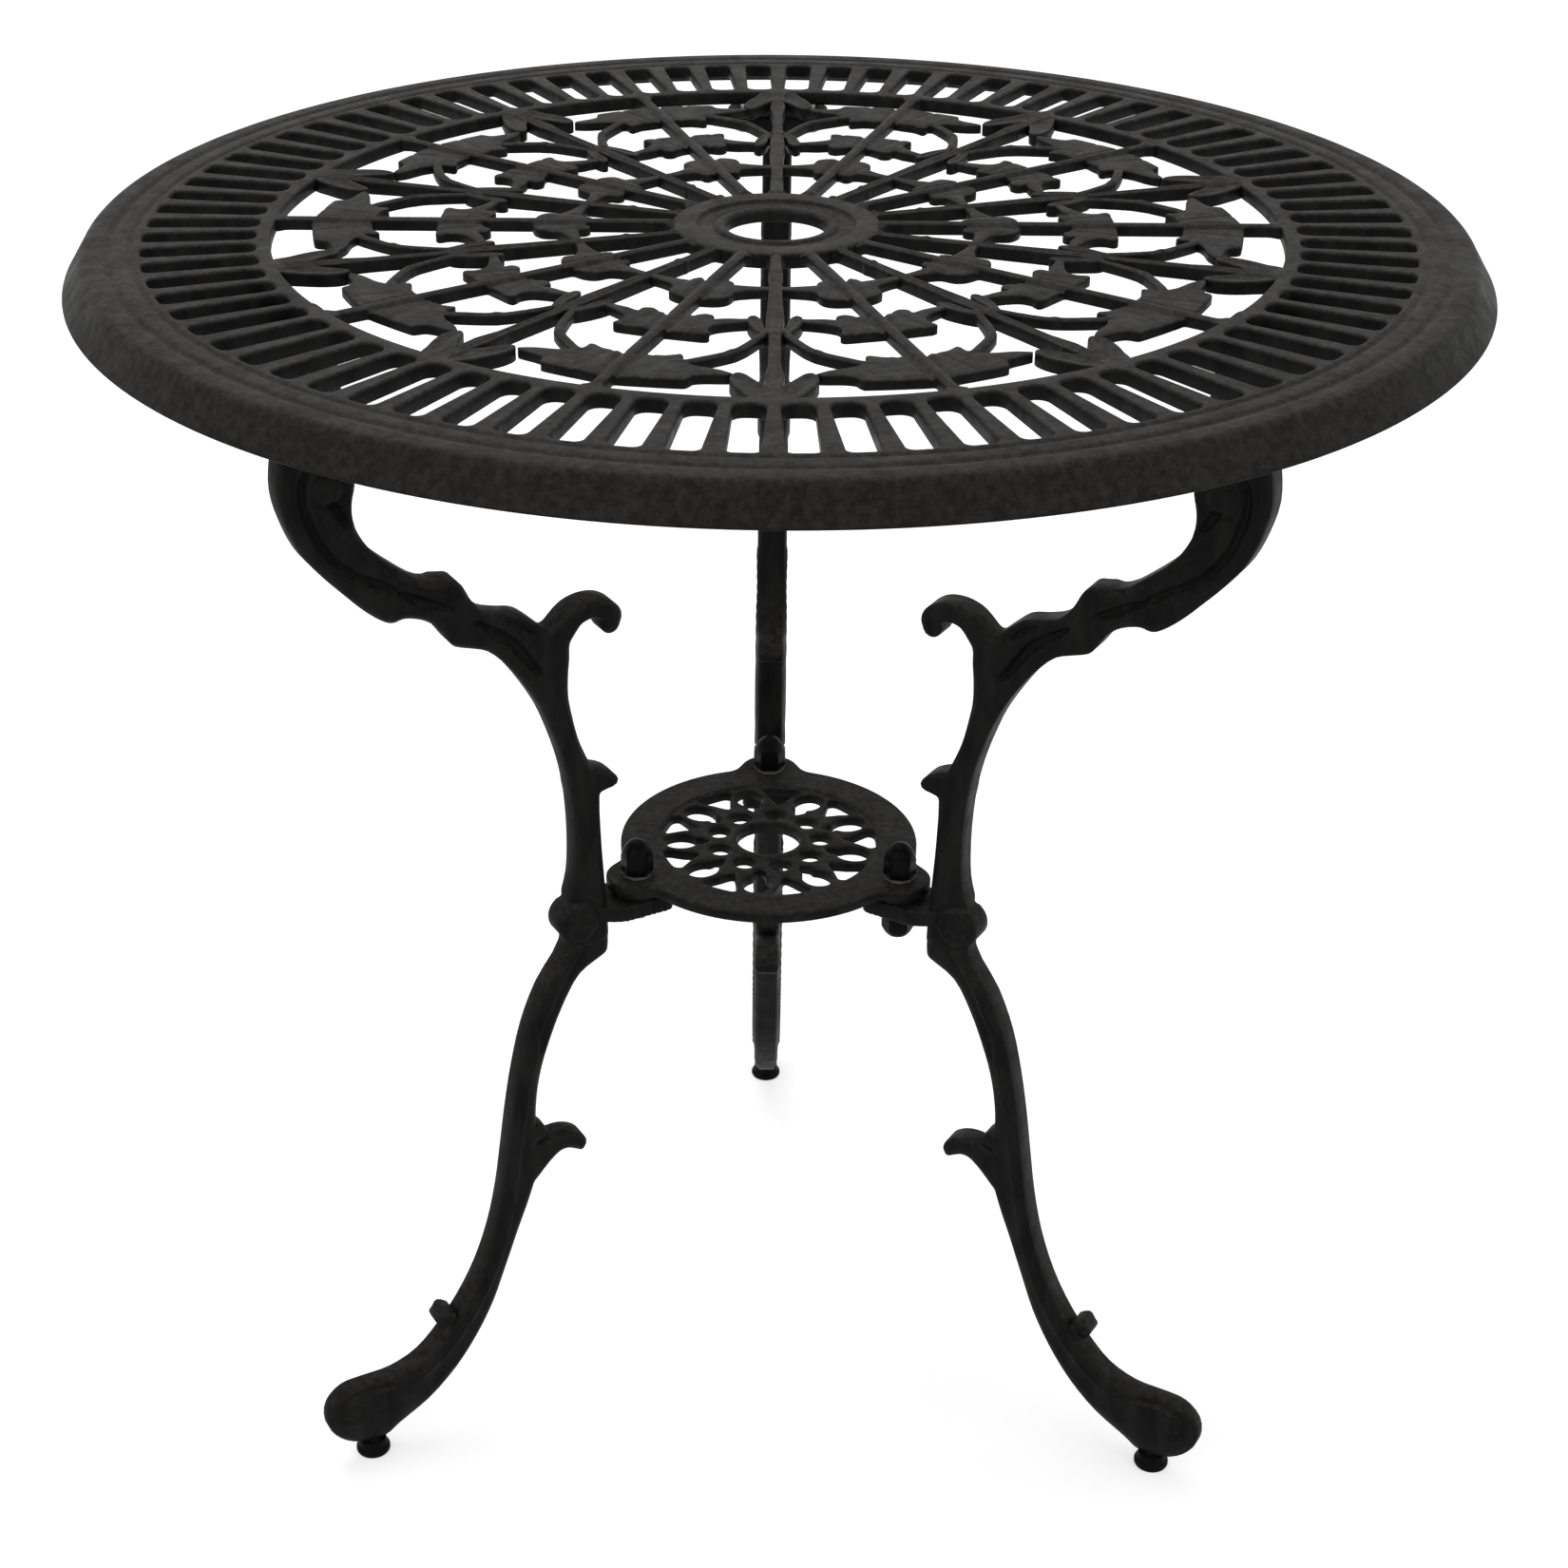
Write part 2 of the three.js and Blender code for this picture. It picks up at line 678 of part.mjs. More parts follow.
// The tongue under the plate's ear, a block with round corners that narrows to the knee
function tongue() {
  const half = tongueWidth / 2;
  const end = boltCircleRadius - tongueReach;
  const side = [];
  for (let i = 0; i <= cornerSteps; i += 1) {
    const turn = i * Math.PI / 2 / cornerSteps;
    side.push([
      end + tongueCorner * (1 - Math.cos(turn)),
      half - tongueCorner * (1 - Math.sin(turn)),
    ]);
  }
  side.push([boltCircleRadius + tongueShoulder, half], [kneeRadius, legEdgeThickness / 2]);
  const otherSide = side.map(([x, y]) => [x, -y]).reverse();
  const points = [...side, ...otherSide].map(([x, y]) => new THREE.Vector2(x, y)).reverse();
  return prism(points, tongueUnderside, tongueTop);
}

function leg() {
  const { shin, arm } = legStations();
  const body = lofted([...shin, ...arm].map(legSection));
  const solid = joined([
    body,
    legHead(),
    tongue(),
    hook(armHookShares, armPoint),
    hook(thornShares, armPoint),
    hook(shinHookShares, shinPoint),
    relief(kneeBossRadius, shinPoint(...kneeBossShare)),
    relief(footBossRadius, shinPoint(...footBossShare)),
    relief(voluteEyeRadius, armPoint(...voluteEyeShare)),
  ]);
  const floorSpan = 2 * footRadius;
  const underFoot = new THREE.BoxGeometry(floorSpan, floorSpan, glideHeight)
    .translate(footRadius, 0, glideHeight / 2);
  const screwHoles = screwPlaces.map(([across, out]) => (
    bar(boltHoleDiameter / 2, headUnderside - cutOverrun, headTop + cutOverrun).translate(out, across, 0)
  ));
  const boltHole = bar(boltHoleDiameter / 2, tongueUnderside - cutOverrun, tongueTop + cutOverrun);
  const stemHole = bar(
    glideStemRadius + seatGap,
    glideHeight - cutOverrun,
    glideHeight + glideStemLength + seatGap,
  );
  return cut(solid, [
    armChannel(arm, 1),
    armChannel(arm, -1),
    solidOf(underFoot),
    ...screwHoles,
    boltHole.translate(boltCircleRadius, 0, 0),
    stemHole.translate(footRadius, 0, 0),
  ]);
}

// Fasteners, made on the Z axis at their own levels
function washer(bottom) {
  const hole = bar(boltHoleDiameter / 2, bottom - cutOverrun, bottom + washerThickness + cutOverrun);
  return bar(washerDiameter / 2, bottom, bottom + washerThickness).subtract(hole);
}

function plateBolt() {
  const head = hexBar(boltHeadFlats, boltHeadTop - boltHeadHeight, boltHeadTop);
  const shankTop = nutBase + nutHeight + boltReach;
  return head.add(bar(boltDiameter / 2, mid(boltHeadTop, boltHeadTop - boltHeadHeight), shankTop));
}

function plateNut() {
  const hole = bar(boltDiameter / 2 + seatGap, nutBase - cutOverrun, nutBase + nutHeight + cutOverrun);
  return hexBar(boltHeadFlats, nutBase, nutBase + nutHeight).subtract(hole);
}

function topScrew() {
  const headFace = headUnderside - seatGap;
  const head = hexBar(boltHeadFlats, headFace - boltHeadHeight, headFace);
  const shankTop = screwHoleTop - seatGap;
  return head.add(bar(boltDiameter / 2, headFace - boltHeadHeight / 2, shankTop));
}

// A hollow plastic cap with a six-sided skirt and a domed end. It is made opening downwards
// at level zero, with a pocket for the nut or head and a narrower one for the shank's end.
function fastenerCap(height, pocketDepth, shankDepth) {
  const domeRadius = capFlats / 2;
  const domeHeight = height - capSkirt;
  const dome = [[0, capSkirt / 2], [domeRadius, capSkirt / 2]];
  for (let i = 0; i <= capRings; i += 1) {
    const turn = i * Math.PI / 2 / capRings;
    dome.push([domeRadius * Math.cos(turn), capSkirt + domeHeight * Math.sin(turn)]);
  }
  dome[dome.length - 1][0] = 0;
  const cornerRadius = boltHeadFlats / 2 / Math.cos(Math.PI / 6);
  const pocket = bar(cornerRadius + seatGap, -cutOverrun, pocketDepth + seatGap);
  const shankPocket = bar(boltDiameter / 2 + seatGap, -cutOverrun, shankDepth + seatGap);
  const body = hexBar(capFlats, 0, capSkirt).add(revolved(dome, fastenerSides));
  return cut(body, [pocket, shankPocket]);
}

function nutCap() {
  return fastenerCap(nutCapHeight, nutHeight, nutHeight + boltReach).translate(0, 0, nutBase);
}

function boltCap() {
  const cap = fastenerCap(boltCapHeight, boltHeadHeight, boltHeadHeight);
  return cap.rotate([180, 0, 0]).translate(0, 0, boltHeadTop);
}

// A plastic glide with a lip on the floor, a waist and a stem pushed up into the foot
function glide() {
  const seat = glideHeight - seatGap;
  return revolved([
    [0, 0],
    [glideRadius - glideLipHeight / 3, 0],
    [glideRadius, glideLipHeight / 3],
    [glideRadius, glideLipHeight],
    [glideWaistRadius, glideLipHeight + glideLipHeight / 3],
    [glideWaistRadius, seat],
    [glideStemRadius, seat],
    [glideStemRadius, glideHeight + glideStemLength],
    [0, glideHeight + glideStemLength],
  ], fastenerSides);
}

// Finishes
const castFinish = { color: 0x2b2927, roughness: 0.55, metalness: 0.35 };
const plasticFinish = { color: 0x0d0d0d, roughness: 0.4, metalness: 0 };
const zincFinish = { color: 0x8f8f8d, roughness: 0.4, metalness: 0.9 };

function piece(name, solid, finish) {
  const mesh = new THREE.Mesh(geometryOf(solid), new THREE.MeshStandardMaterial(finish));
  mesh.name = name;
  return mesh;
}

const table = new THREE.Group();
table.add(piece('table_top', tableTop(), castFinish));
table.add(piece('lower_plate', lowerPlate(), castFinish));

const legSolid = leg();
const capped = ['right', 'rear'];
for (const [side, turn] of Object.entries(legTurns)) {
  const legGroup = new THREE.Group();
  legGroup.rotation.z = turn;
  table.add(legGroup);
  legGroup.add(piece(`leg_${side}`, legSolid, castFinish));

  const atBolt = new THREE.Group();
  atBolt.position.x = boltCircleRadius;
  legGroup.add(atBolt);
  atBolt.add(piece(`plate_bolt_${side}`, plateBolt(), zincFinish));
  atBolt.add(piece(`plate_washer_upper_${side}`, washer(upperWasherBase), zincFinish));
  atBolt.add(piece(`plate_washer_lower_${side}`, washer(lowerWasherTop - washerThickness), zincFinish));
  atBolt.add(piece(`plate_nut_${side}`, plateNut(), zincFinish));
  atBolt.add(piece(`nut_cap_${side}`, nutCap(), plasticFinish));
  if (capped.includes(side)) {
    atBolt.add(piece(`bolt_cap_${side}`, boltCap(), plasticFinish));
  }

  for (const [i, [across, out]] of screwPlaces.entries()) {
    const screw = piece(`top_screw_${side}_${i + 1}`, topScrew(), zincFinish);
    screw.position.set(out, across, 0);
    legGroup.add(screw);
  }

  const glidePiece = piece(`glide_${side}`, glide(), plasticFinish);
  glidePiece.position.x = footRadius;
  legGroup.add(glidePiece);
}

export default table;
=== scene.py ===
"""Looks of a cast patio table with a parasol hole: a pierced top, three scrolled legs and a lower plate.

The castings are cut from distance fields, in millimetres, and stand for the plain CAD nodes. The frame gives
the places and the outer sizes, and each casting's own shapes are written beside it.
"""

import math

import bpy
import numpy as np
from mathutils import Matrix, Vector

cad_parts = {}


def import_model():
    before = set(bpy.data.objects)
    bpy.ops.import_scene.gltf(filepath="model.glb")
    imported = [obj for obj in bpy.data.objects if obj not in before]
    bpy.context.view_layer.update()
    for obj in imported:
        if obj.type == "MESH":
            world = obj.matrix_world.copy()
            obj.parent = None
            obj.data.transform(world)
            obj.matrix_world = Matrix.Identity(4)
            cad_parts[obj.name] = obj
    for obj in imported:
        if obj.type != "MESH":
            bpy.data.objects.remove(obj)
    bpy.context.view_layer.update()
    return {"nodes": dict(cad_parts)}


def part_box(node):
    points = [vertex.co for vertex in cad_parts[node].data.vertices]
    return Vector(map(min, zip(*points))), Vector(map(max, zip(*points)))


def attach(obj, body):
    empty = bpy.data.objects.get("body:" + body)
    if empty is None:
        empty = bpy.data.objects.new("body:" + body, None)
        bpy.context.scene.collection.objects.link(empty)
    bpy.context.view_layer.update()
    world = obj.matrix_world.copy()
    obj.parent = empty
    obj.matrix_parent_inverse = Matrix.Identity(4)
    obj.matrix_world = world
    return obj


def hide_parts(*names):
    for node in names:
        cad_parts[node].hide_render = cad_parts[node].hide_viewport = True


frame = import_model()
nodes = frame["nodes"]

MM = 0.001


def millimetres(node):
    """The lowest and highest corners of a CAD node, in millimetres."""
    low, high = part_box(node)
    return np.array(low) / MM, np.array(high) / MM


# Sizes that the frame gives
TOP_LOW, TOP_HIGH = millimetres("table_top")
TOP = TOP_HIGH[2]
TOP_RADIUS = TOP_HIGH[0]
SKIRT_LOW = TOP_LOW[2]
PLATE_TOP = millimetres("lower_plate")[1][2]
LEG_LOW, LEG_HIGH = millimetres("leg_rear")
FOOT_FLAT = LEG_LOW[2]
HEAD_TOP = LEG_HIGH[2]
GLIDE_LOW, GLIDE_HIGH = millimetres("glide_rear")
FOOT_RADIUS = (GLIDE_LOW[1] + GLIDE_HIGH[1]) / 2
CAP_LOW, CAP_HIGH = millimetres("nut_cap_rear")
BOLT_RADIUS = (CAP_LOW[1] + CAP_HIGH[1]) / 2
SCREW_LOW, SCREW_HIGH = millimetres("top_screw_rear_1")
HEAD_OUT = (SCREW_LOW[1] + SCREW_HIGH[1]) / 2
LEG_ANGLES = {"left": 210, "right": 330, "rear": 90}


# Curves and distances on a plane

def smooth_curve(points, closed=False, steps=5):
    """A rounded curve through the points, with more of them near short spans."""
    points = np.array(points, float)
    if closed:
        row = np.vstack([points[-1:], points, points[:2]])
    else:
        row = np.vstack([2 * points[0] - points[1], points, 2 * points[-1] - points[-2]])
    curve = []
    for k in range(1, len(row) - 2):
        four = row[k - 1:k + 3]
        knots = np.concatenate([[0], np.cumsum(np.sqrt(np.linalg.norm(np.diff(four, axis=0), axis=1)))])
        for t in np.linspace(knots[1], knots[2], steps, endpoint=False):
            rung = [mixed(four[i], four[i + 1], knots[i], knots[i + 1], t) for i in range(3)]
            rung = [mixed(rung[i], rung[i + 1], knots[i], knots[i + 2], t) for i in range(2)]
            curve.append(mixed(rung[0], rung[1], knots[1], knots[2], t))
    if not closed:
        curve.append(points[-1])
    return np.array(curve)


def mixed(a, b, start, end, t):
    """A point between two, as far along as t is from start to end."""
    return a * (end - t) / (end - start) + b * (t - start) / (end - start)


def mirrored(half):
    """A closed outline from its half on the side of positive x."""
    return list(half) + [(-x, y) for x, y in reversed(half) if x > 0]


def outline_distance(outline, x, y):
    """Signed distance to a closed outline, negative inside."""
    nearest = np.full(x.shape, np.inf)
    inside = np.zeros(x.shape, bool)
    for (ax, ay), (bx, by) in zip(outline, np.roll(outline, -1, axis=0)):
        ex, ey = bx - ax, by - ay
        px, py = x - ax, y - ay
        t = np.clip((px * ex + py * ey) / (ex * ex + ey * ey + 1e-12), 0, 1)
        nearest = np.minimum(nearest, (px - t * ex) ** 2 + (py - t * ey) ** 2)
        if ay != by:
            inside ^= ((ay > y) != (by > y)) & (x < ex * (y - ay) / (by - ay) + ax)
    return np.where(inside, -1, 1) * np.sqrt(nearest)


def stroke_distance(points, x, y):
    """Signed distance to a rounded stroke through points that each hold x, y and a half width."""
    nearest = np.full(x.shape, np.inf)
    for (ax, ay, ar), (bx, by, br) in zip(points[:-1], points[1:]):
        ex, ey = bx - ax, by - ay
        px, py = x - ax, y - ay
        t = np.clip((px * ex + py * ey) / (ex * ex + ey * ey), 0, 1)
        reach = np.hypot(px - t * ex, py - t * ey) - ar - t * (br - ar)
        nearest = np.minimum(nearest, reach)
    return nearest


def line_distance(points, x, y):
    """Distance to a thin open curve."""
    return stroke_distance([(px, py, 0) for px, py in points], x, y)


def smooth_least(a, b, blend):
    """The lesser of two distances, with a fillet of about that size between them."""
    h = np.clip(0.5 + 0.5 * (b - a) / blend, 0, 1)
    return b * (1 - h) + a * h - blend * h * (1 - h)


def smooth_step(value, low, high):
    """0 up to low, 1 from high, and a soft rise between."""
    t = np.clip((value - low) / (high - low), 0, 1)
    return t * t * (3 - 2 * t)


def bump(distance, width):
    """1 on a line, falling softly to 0 about a width away."""
    return np.exp(-(distance / width) ** 2)


# Meshes

def marched(level, xs, ys):
    """Cuts a grid where its level is above 0: places, faces, and edges of the rim with metal on the left."""
    inside = level > 0
    node = np.full(level.shape, -1)
    node[inside] = np.arange(inside.sum())
    i, j = np.nonzero(inside)
    places = [np.column_stack([xs[i], ys[j]])]
    count = len(i)
    ids = []
    for axis in (0, 1):
        shift = (slice(1, None), slice(None)) if axis == 0 else (slice(None), slice(1, None))
        near = (slice(None, -1), slice(None)) if axis == 0 else (slice(None), slice(None, -1))
        crossed = inside[near] != inside[shift]
        i, j = np.nonzero(crossed)
        table = np.full(crossed.shape, -1)
        table[i, j] = count + np.arange(len(i))
        here = level[near][i, j]
        t = np.clip(here / (here - level[shift][i, j]), 0.04, 0.96)
        step_x = (xs[1] - xs[0]) * (axis == 0)
        step_y = (ys[1] - ys[0]) * (axis == 1)
        places.append(np.column_stack([xs[i] + t * step_x, ys[j] + t * step_y]))
        ids.append(table)
        count += len(i)
    corners = [node[:-1, :-1], node[1:, :-1], node[1:, 1:], node[:-1, 1:]]
    edges = [ids[0][:, :-1], ids[1][1:, :], ids[0][:, 1:], ids[1][:-1, :]]
    case = sum((corner >= 0) * 2 ** k for k, corner in enumerate(corners))
    faces, rim = [], []
    for pattern in range(1, 16):
        cells = np.nonzero(case == pattern)
        loop, leaving = [], None
        for k in range(8):
            here, ahead = pattern >> k % 4 & 1, pattern >> (k + 1) % 4 & 1
            if here and k < 4:
                loop.append(corners[k][cells])
            if here == ahead:
                continue
            crossing = edges[k % 4][cells]
            if k < 4:
                loop.append(crossing)
            if here and k < 4:
                leaving = crossing
            elif not here and leaving is not None:
                rim.append(np.column_stack([leaving, crossing]))
                leaving = None
        faces += np.column_stack(loop).tolist()
    return np.vstack(places), faces, np.vstack(rim)


def relief(field, front, back, span, step, edge=0.9, back_edge=0.5):
    """A casting cut from a sheet, as points and faces.

    The field is positive in the metal and 0 on its edge, and front and back are the heights of its faces. The
    front's edge is rounded by edge, and the back's is eased by back_edge.
    """
    (x0, x1), (y0, y1) = span
    xs = np.arange(x0, x1 + step, step)
    ys = np.arange(y0, y1 + step, step)
    grid = np.meshgrid(xs, ys, indexing="ij")
    places, faces, rim = marched(field(*grid) - edge, xs, ys)
    x, y = places.T
    rim_ids = np.unique(rim)
    rx, ry = x[rim_ids], y[rim_ids]
    reach = 0.3 * step
    slope = np.column_stack([
        field(rx - reach, ry) - field(rx + reach, ry),
        field(rx, ry - reach) - field(rx, ry + reach),
    ])
    outward = slope / np.maximum(np.linalg.norm(slope, axis=1), 1e-9)[:, None]
    top, bottom = front(x, y), back(x, y)
    rim_top, rim_bottom = top[rim_ids], bottom[rim_ids]
    rings = [
        (0.6 * edge, rim_top - 0.2 * edge),
        (0.9 * edge, rim_top - 0.56 * edge),
        (edge, rim_top - edge),
        (edge, rim_bottom + back_edge),
    ]
    points = [np.column_stack([x, y, top])]
    for out, height in rings:
        points.append(np.column_stack([rx + out * outward[:, 0], ry + out * outward[:, 1], height]))
    points.append(np.column_stack([x, y, bottom]))
    total, many = len(x), len(rim_ids)
    ring_ids = [rim_ids] + [total + k * many + np.arange(many) for k in range(len(rings))]
    last = total + len(rings) * many
    ring_ids.append(last + rim_ids)
    order = np.zeros(total, int)
    order[rim_ids] = np.arange(many)
    a, b = order[rim[:, 0]], order[rim[:, 1]]
    all_faces = faces + [[last + v for v in reversed(face)] for face in faces]
    for upper, lower in zip(ring_ids[:-1], ring_ids[1:]):
        all_faces += np.column_stack([upper[b], upper[a], lower[a], lower[b]]).tolist()
    return np.vstack(points), all_faces


def lathe(profile, turns, closed=True):
    """A profile of radius and height turned about Z. A closed one runs up its hole and out over its top."""
    radius, height = np.array(profile, float).T
    points = np.vstack([np.column_stack([radius * math.cos(t), radius * math.sin(t), height]) for t in turns])
    many, count = len(profile), len(turns)
    faces = []
    for k in range(count):
        ahead = (k + 1) % count
        for i in range(many if closed else many - 1):
            j = (i + 1) % many
            faces.append([k * many + i, k * many + j, ahead * many + j, ahead * many + i])
    return points, faces


def even_turns(count):
    """That many angles round a circle."""
    return [2 * math.pi * k / count for k in range(count)]


def gathered(pieces):
    """Several sets of points and faces as one."""
    points, faces, start = [], [], 0
    for more, their_faces in pieces:
        points.append(np.array(more, float))
        faces += [[v + start for v in face] for face in their_faces]
        start += len(more)
    return np.vstack(points), faces


def welded(points, faces):
    """Points that share a place become one."""
    _, first, same = np.unique(np.round(points, 3), axis=0, return_index=True, return_inverse=True)
    same = same.reshape(-1)
    return points[first], [[int(same[v]) for v in face] for face in faces]


def turned(points, degrees):
    """Points turned about Z."""
    c, s = math.cos(math.radians(degrees)), math.sin(math.radians(degrees))
    return np.array(points) @ np.array([[c, s, 0], [-s, c, 0], [0, 0, 1]])


def add_piece(name, points, faces, material, stands_for=()):
    """A smooth-shaded mesh from points in millimetres, riding on the table's body."""
    mesh = bpy.data.meshes.new(name)
    mesh.from_pydata((np.array(points) * MM).tolist(), [], faces)
    mesh.validate()
    mesh.shade_smooth()
    mesh.materials.append(material)
    piece = bpy.data.objects.new(name, mesh)
    bpy.context.scene.collection.objects.link(piece)
    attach(piece, "root")
    if stands_for:
        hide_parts(*stands_for)
    return piece


# Materials

def new_material(name):
    """A material, its tree and shader, and the place on the object."""
    material = bpy.data.materials.new(name)
    material.use_nodes = True
    tree = material.node_tree
    shader = tree.nodes["Principled BSDF"]
    place = tree.nodes.new("ShaderNodeTexCoord").outputs["Object"]
    return material, tree, shader, place


def noise(tree, place, scale, detail=3.0, roughness=0.55, stretch=None):
    """Noise of a scale in features per metre, over the object's own coordinates."""
    if stretch:
        mapping = tree.nodes.new("ShaderNodeMapping")
        mapping.inputs["Scale"].default_value = stretch
        tree.links.new(place, mapping.inputs["Vector"])
        place = mapping.outputs["Vector"]
    node = tree.nodes.new("ShaderNodeTexNoise")
    node.inputs["Scale"].default_value = scale
    node.inputs["Detail"].default_value = detail
    node.inputs["Roughness"].default_value = roughness
    tree.links.new(place, node.inputs["Vector"])
    return node.outputs["Fac"]


def ranged(tree, value, low, high, to_low, to_high):
    """A value's range mapped to another and held inside it."""
    node = tree.nodes.new("ShaderNodeMapRange")
    node.inputs["From Min"].default_value = low
    node.inputs["From Max"].default_value = high
    node.inputs["To Min"].default_value = to_low
    node.inputs["To Max"].default_value = to_high
    tree.links.new(value, node.inputs["Value"])
    return node.outputs["Result"]


def blended(tree, share, first, second):
    """A colour between two, each a colour or a socket."""
    node = tree.nodes.new("ShaderNodeMix")
    node.data_type = "RGBA"
    for name, value in (("A", first), ("B", second)):
        socket = [s for s in node.inputs if s.name == name and s.type == "RGBA"][0]
        if isinstance(value, tuple):
            socket.default_value = (*value, 1)
        else:
            tree.links.new(value, socket)
    tree.links.new(share, [s for s in node.inputs if s.name == "Factor" and s.type == "VALUE"][0])
    return [s for s in node.outputs if s.type == "RGBA"][0]


def bumped(tree, shader, layers):
    """Bump from (height socket, distance in millimetres) layers, one on another."""
    normal = None
    for height, depth in layers:
        node = tree.nodes.new("ShaderNodeBump")
        node.inputs["Distance"].default_value = depth * MM
        tree.links.new(height, node.inputs["Height"])
        if normal:
            tree.links.new(normal, node.inputs["Normal"])
        normal = node.outputs["Normal"]
    tree.links.new(normal, shader.inputs["Normal"])


def dust_and_top_light_share(tree):
    """1 on faces that look up, 0 on walls and undersides: where the dust and the painted light from above go.
    """
    split = tree.nodes.new("ShaderNodeSeparateXYZ")
    tree.links.new(tree.nodes.new("ShaderNodeNewGeometry").outputs["Normal"], split.inputs[0])
    return ranged(tree, split.outputs["Z"], 0.15, 0.62, 0, 1)


def coated_casting():
    """Black powder coat over cast aluminium, lighter on what faces up: partly a dusty bloom, partly painted
    light from above.
    """
    material, tree, shader, place = new_material("coated_casting")
    clouds = ranged(tree, noise(tree, place, 38, 4), 0.35, 0.68, 0, 1)
    streaks = ranged(tree, noise(tree, place, 120, 3, stretch=(1, 1, 0.25)), 0.4, 0.66, 0, 1)
    grain = ranged(tree, noise(tree, place, 240, 5, 0.7), 0.4, 0.64, 0, 1)
    coat = blended(tree, clouds, (0.0038, 0.0038, 0.004), (0.0078, 0.0075, 0.0072))
    coat = blended(tree, streaks, coat, (0.0125, 0.012, 0.0114))
    # Faces that look up get this lighter colour, partly as dust and partly as painted light from above, so
    # walls and undersides stay darker.
    dust_and_top_light = blended(tree, grain, (0.0112, 0.0105, 0.0098), (0.0285, 0.0267, 0.0245))
    colour = blended(tree, dust_and_top_light_share(tree), coat, dust_and_top_light)
    tree.links.new(colour, shader.inputs["Base Color"])
    rough = ranged(tree, noise(tree, place, 70, 4), 0.3, 0.7, 0.42, 0.62)
    tree.links.new(rough, shader.inputs["Roughness"])
    shader.inputs["Specular IOR Level"].default_value = 0.05
    bumped(tree, shader, [
        (noise(tree, place, 130, 3), 0.35),
        (noise(tree, place, 1100, 2), 0.07),
    ])
    return material


def moulded_plastic():
    """Black moulded plastic, smoother than the coat, with faint scuffs."""
    material, tree, shader, place = new_material("moulded_plastic")
    scuffs = ranged(tree, noise(tree, place, 260, 5), 0.45, 0.75, 0, 1)
    tree.links.new(blended(tree, scuffs, (0.003, 0.003, 0.0031), (0.0062, 0.0062, 0.0062)),
                   shader.inputs["Base Color"])
    tree.links.new(ranged(tree, scuffs, 0, 1, 0.34, 0.5), shader.inputs["Roughness"])
    shader.inputs["Specular IOR Level"].default_value = 0.04
    bumped(tree, shader, [(noise(tree, place, 700, 2), 0.03)])
    return material


def bright_zinc():
    """Zinc plating on steel fasteners, slightly dulled."""
    material, tree, shader, place = new_material("bright_zinc")
    shader.inputs["Metallic"].default_value = 1
    dull = ranged(tree, noise(tree, place, 500, 4), 0.35, 0.7, 0, 1)
    tree.links.new(blended(tree, dull, (0.42, 0.42, 0.4), (0.24, 0.235, 0.22)), shader.inputs["Base Color"])
    tree.links.new(ranged(tree, dull, 0, 1, 0.32, 0.5), shader.inputs["Roughness"])
    bumped(tree, shader, [(noise(tree, place, 1500, 2), 0.03)])
    return material


CAST = coated_casting()
PLASTIC = moulded_plastic()
ZINC = bright_zinc()


# Table top: heights are below TOP. The spokes' own frame has x across and y out from the axis.
SPOKES = 10
RING_INNER = 242.0
RING_DEPTH = 7.0
HUB_RADIUS = 50.3
HUB_DEPTH = 8.4
HOLE_RADIUS = 24.3
HUB_LIP = 27.4
HUB_DISH = 38.5
SPOKE_HALF = 2.75
VINE_DEPTH = 7.5
LEAF_DROP = 1.5
LEAF_DEPTH = 6.3
FALL = 1.8
SPOKE_STEP = 1.1
VINE_STEP = 0.85
PATTERN_SPAN = (46.5, 247)
SPOKE_SPAN = (-53, 53)
VINE_SPAN = (-20.5, 20.5)

LARGE_LEAF = [
    (0, 196), (8, 194.5), (14, 193.5), (21, 189.4), (22.5, 196), (30.5, 201), (42.5, 202.6), (49.8, 206.4),
    (45, 208.6), (37.5, 211), (34, 213.4), (33.2, 217), (32.4, 218.8), (30.5, 219.5), (16, 222.5), (0, 224.7),
]
MIDDLE_LEAF = [
    (0, 142.5), (4, 142), (9, 139.3), (12.3, 136.9), (16, 137.6), (17.4, 139.7), (17.6, 142.3), (23, 139.8),
    (30, 137.9), (34.3, 135.6), (36.2, 139.6), (31, 142.6), (24.2, 147.3), (20.6, 151.4), (20.3, 156.5),
    (22, 159.5), (22, 162), (11, 163.2), (0, 163.5),
]
SMALL_LEAF = [
    (0, 92), (3, 91.6), (6.8, 89.4), (9.6, 90.6), (11.2, 94.3), (17, 94.3), (24.5, 93), (29, 92),
    (29.6, 96.4), (25, 98.2), (19, 101.4), (15, 104.8), (14.8, 109), (14, 112.6), (10.5, 115.8), (5.7, 117.3),
    (0, 117.8),
]
CURL = [
    (19.5, 200.5, 2), (25.4, 197.6, 2.3), (30, 192.7, 2.4), (34.6, 187.4, 2.4), (38.6, 182, 2.3),
    (41.4, 175.8, 2.2), (43, 167.9, 2.1), (44.2, 159.1, 2), (44.8, 151.6, 1.9), (45.2, 147, 1.6),
]
CURL_KNOT = (39.6, 180.3)


def raised(parts, blend):
    """One field and height from parts that each hold a distance, negative inside, and a height."""
    distance, height = parts[0][0], parts[0][1] - FALL * np.maximum(parts[0][0], 0)
    for their_distance, their_height in parts[1:]:
        distance = smooth_least(distance, their_distance, blend)
        height = np.maximum(height, their_height - FALL * np.maximum(their_distance, 0))
    return -distance, height


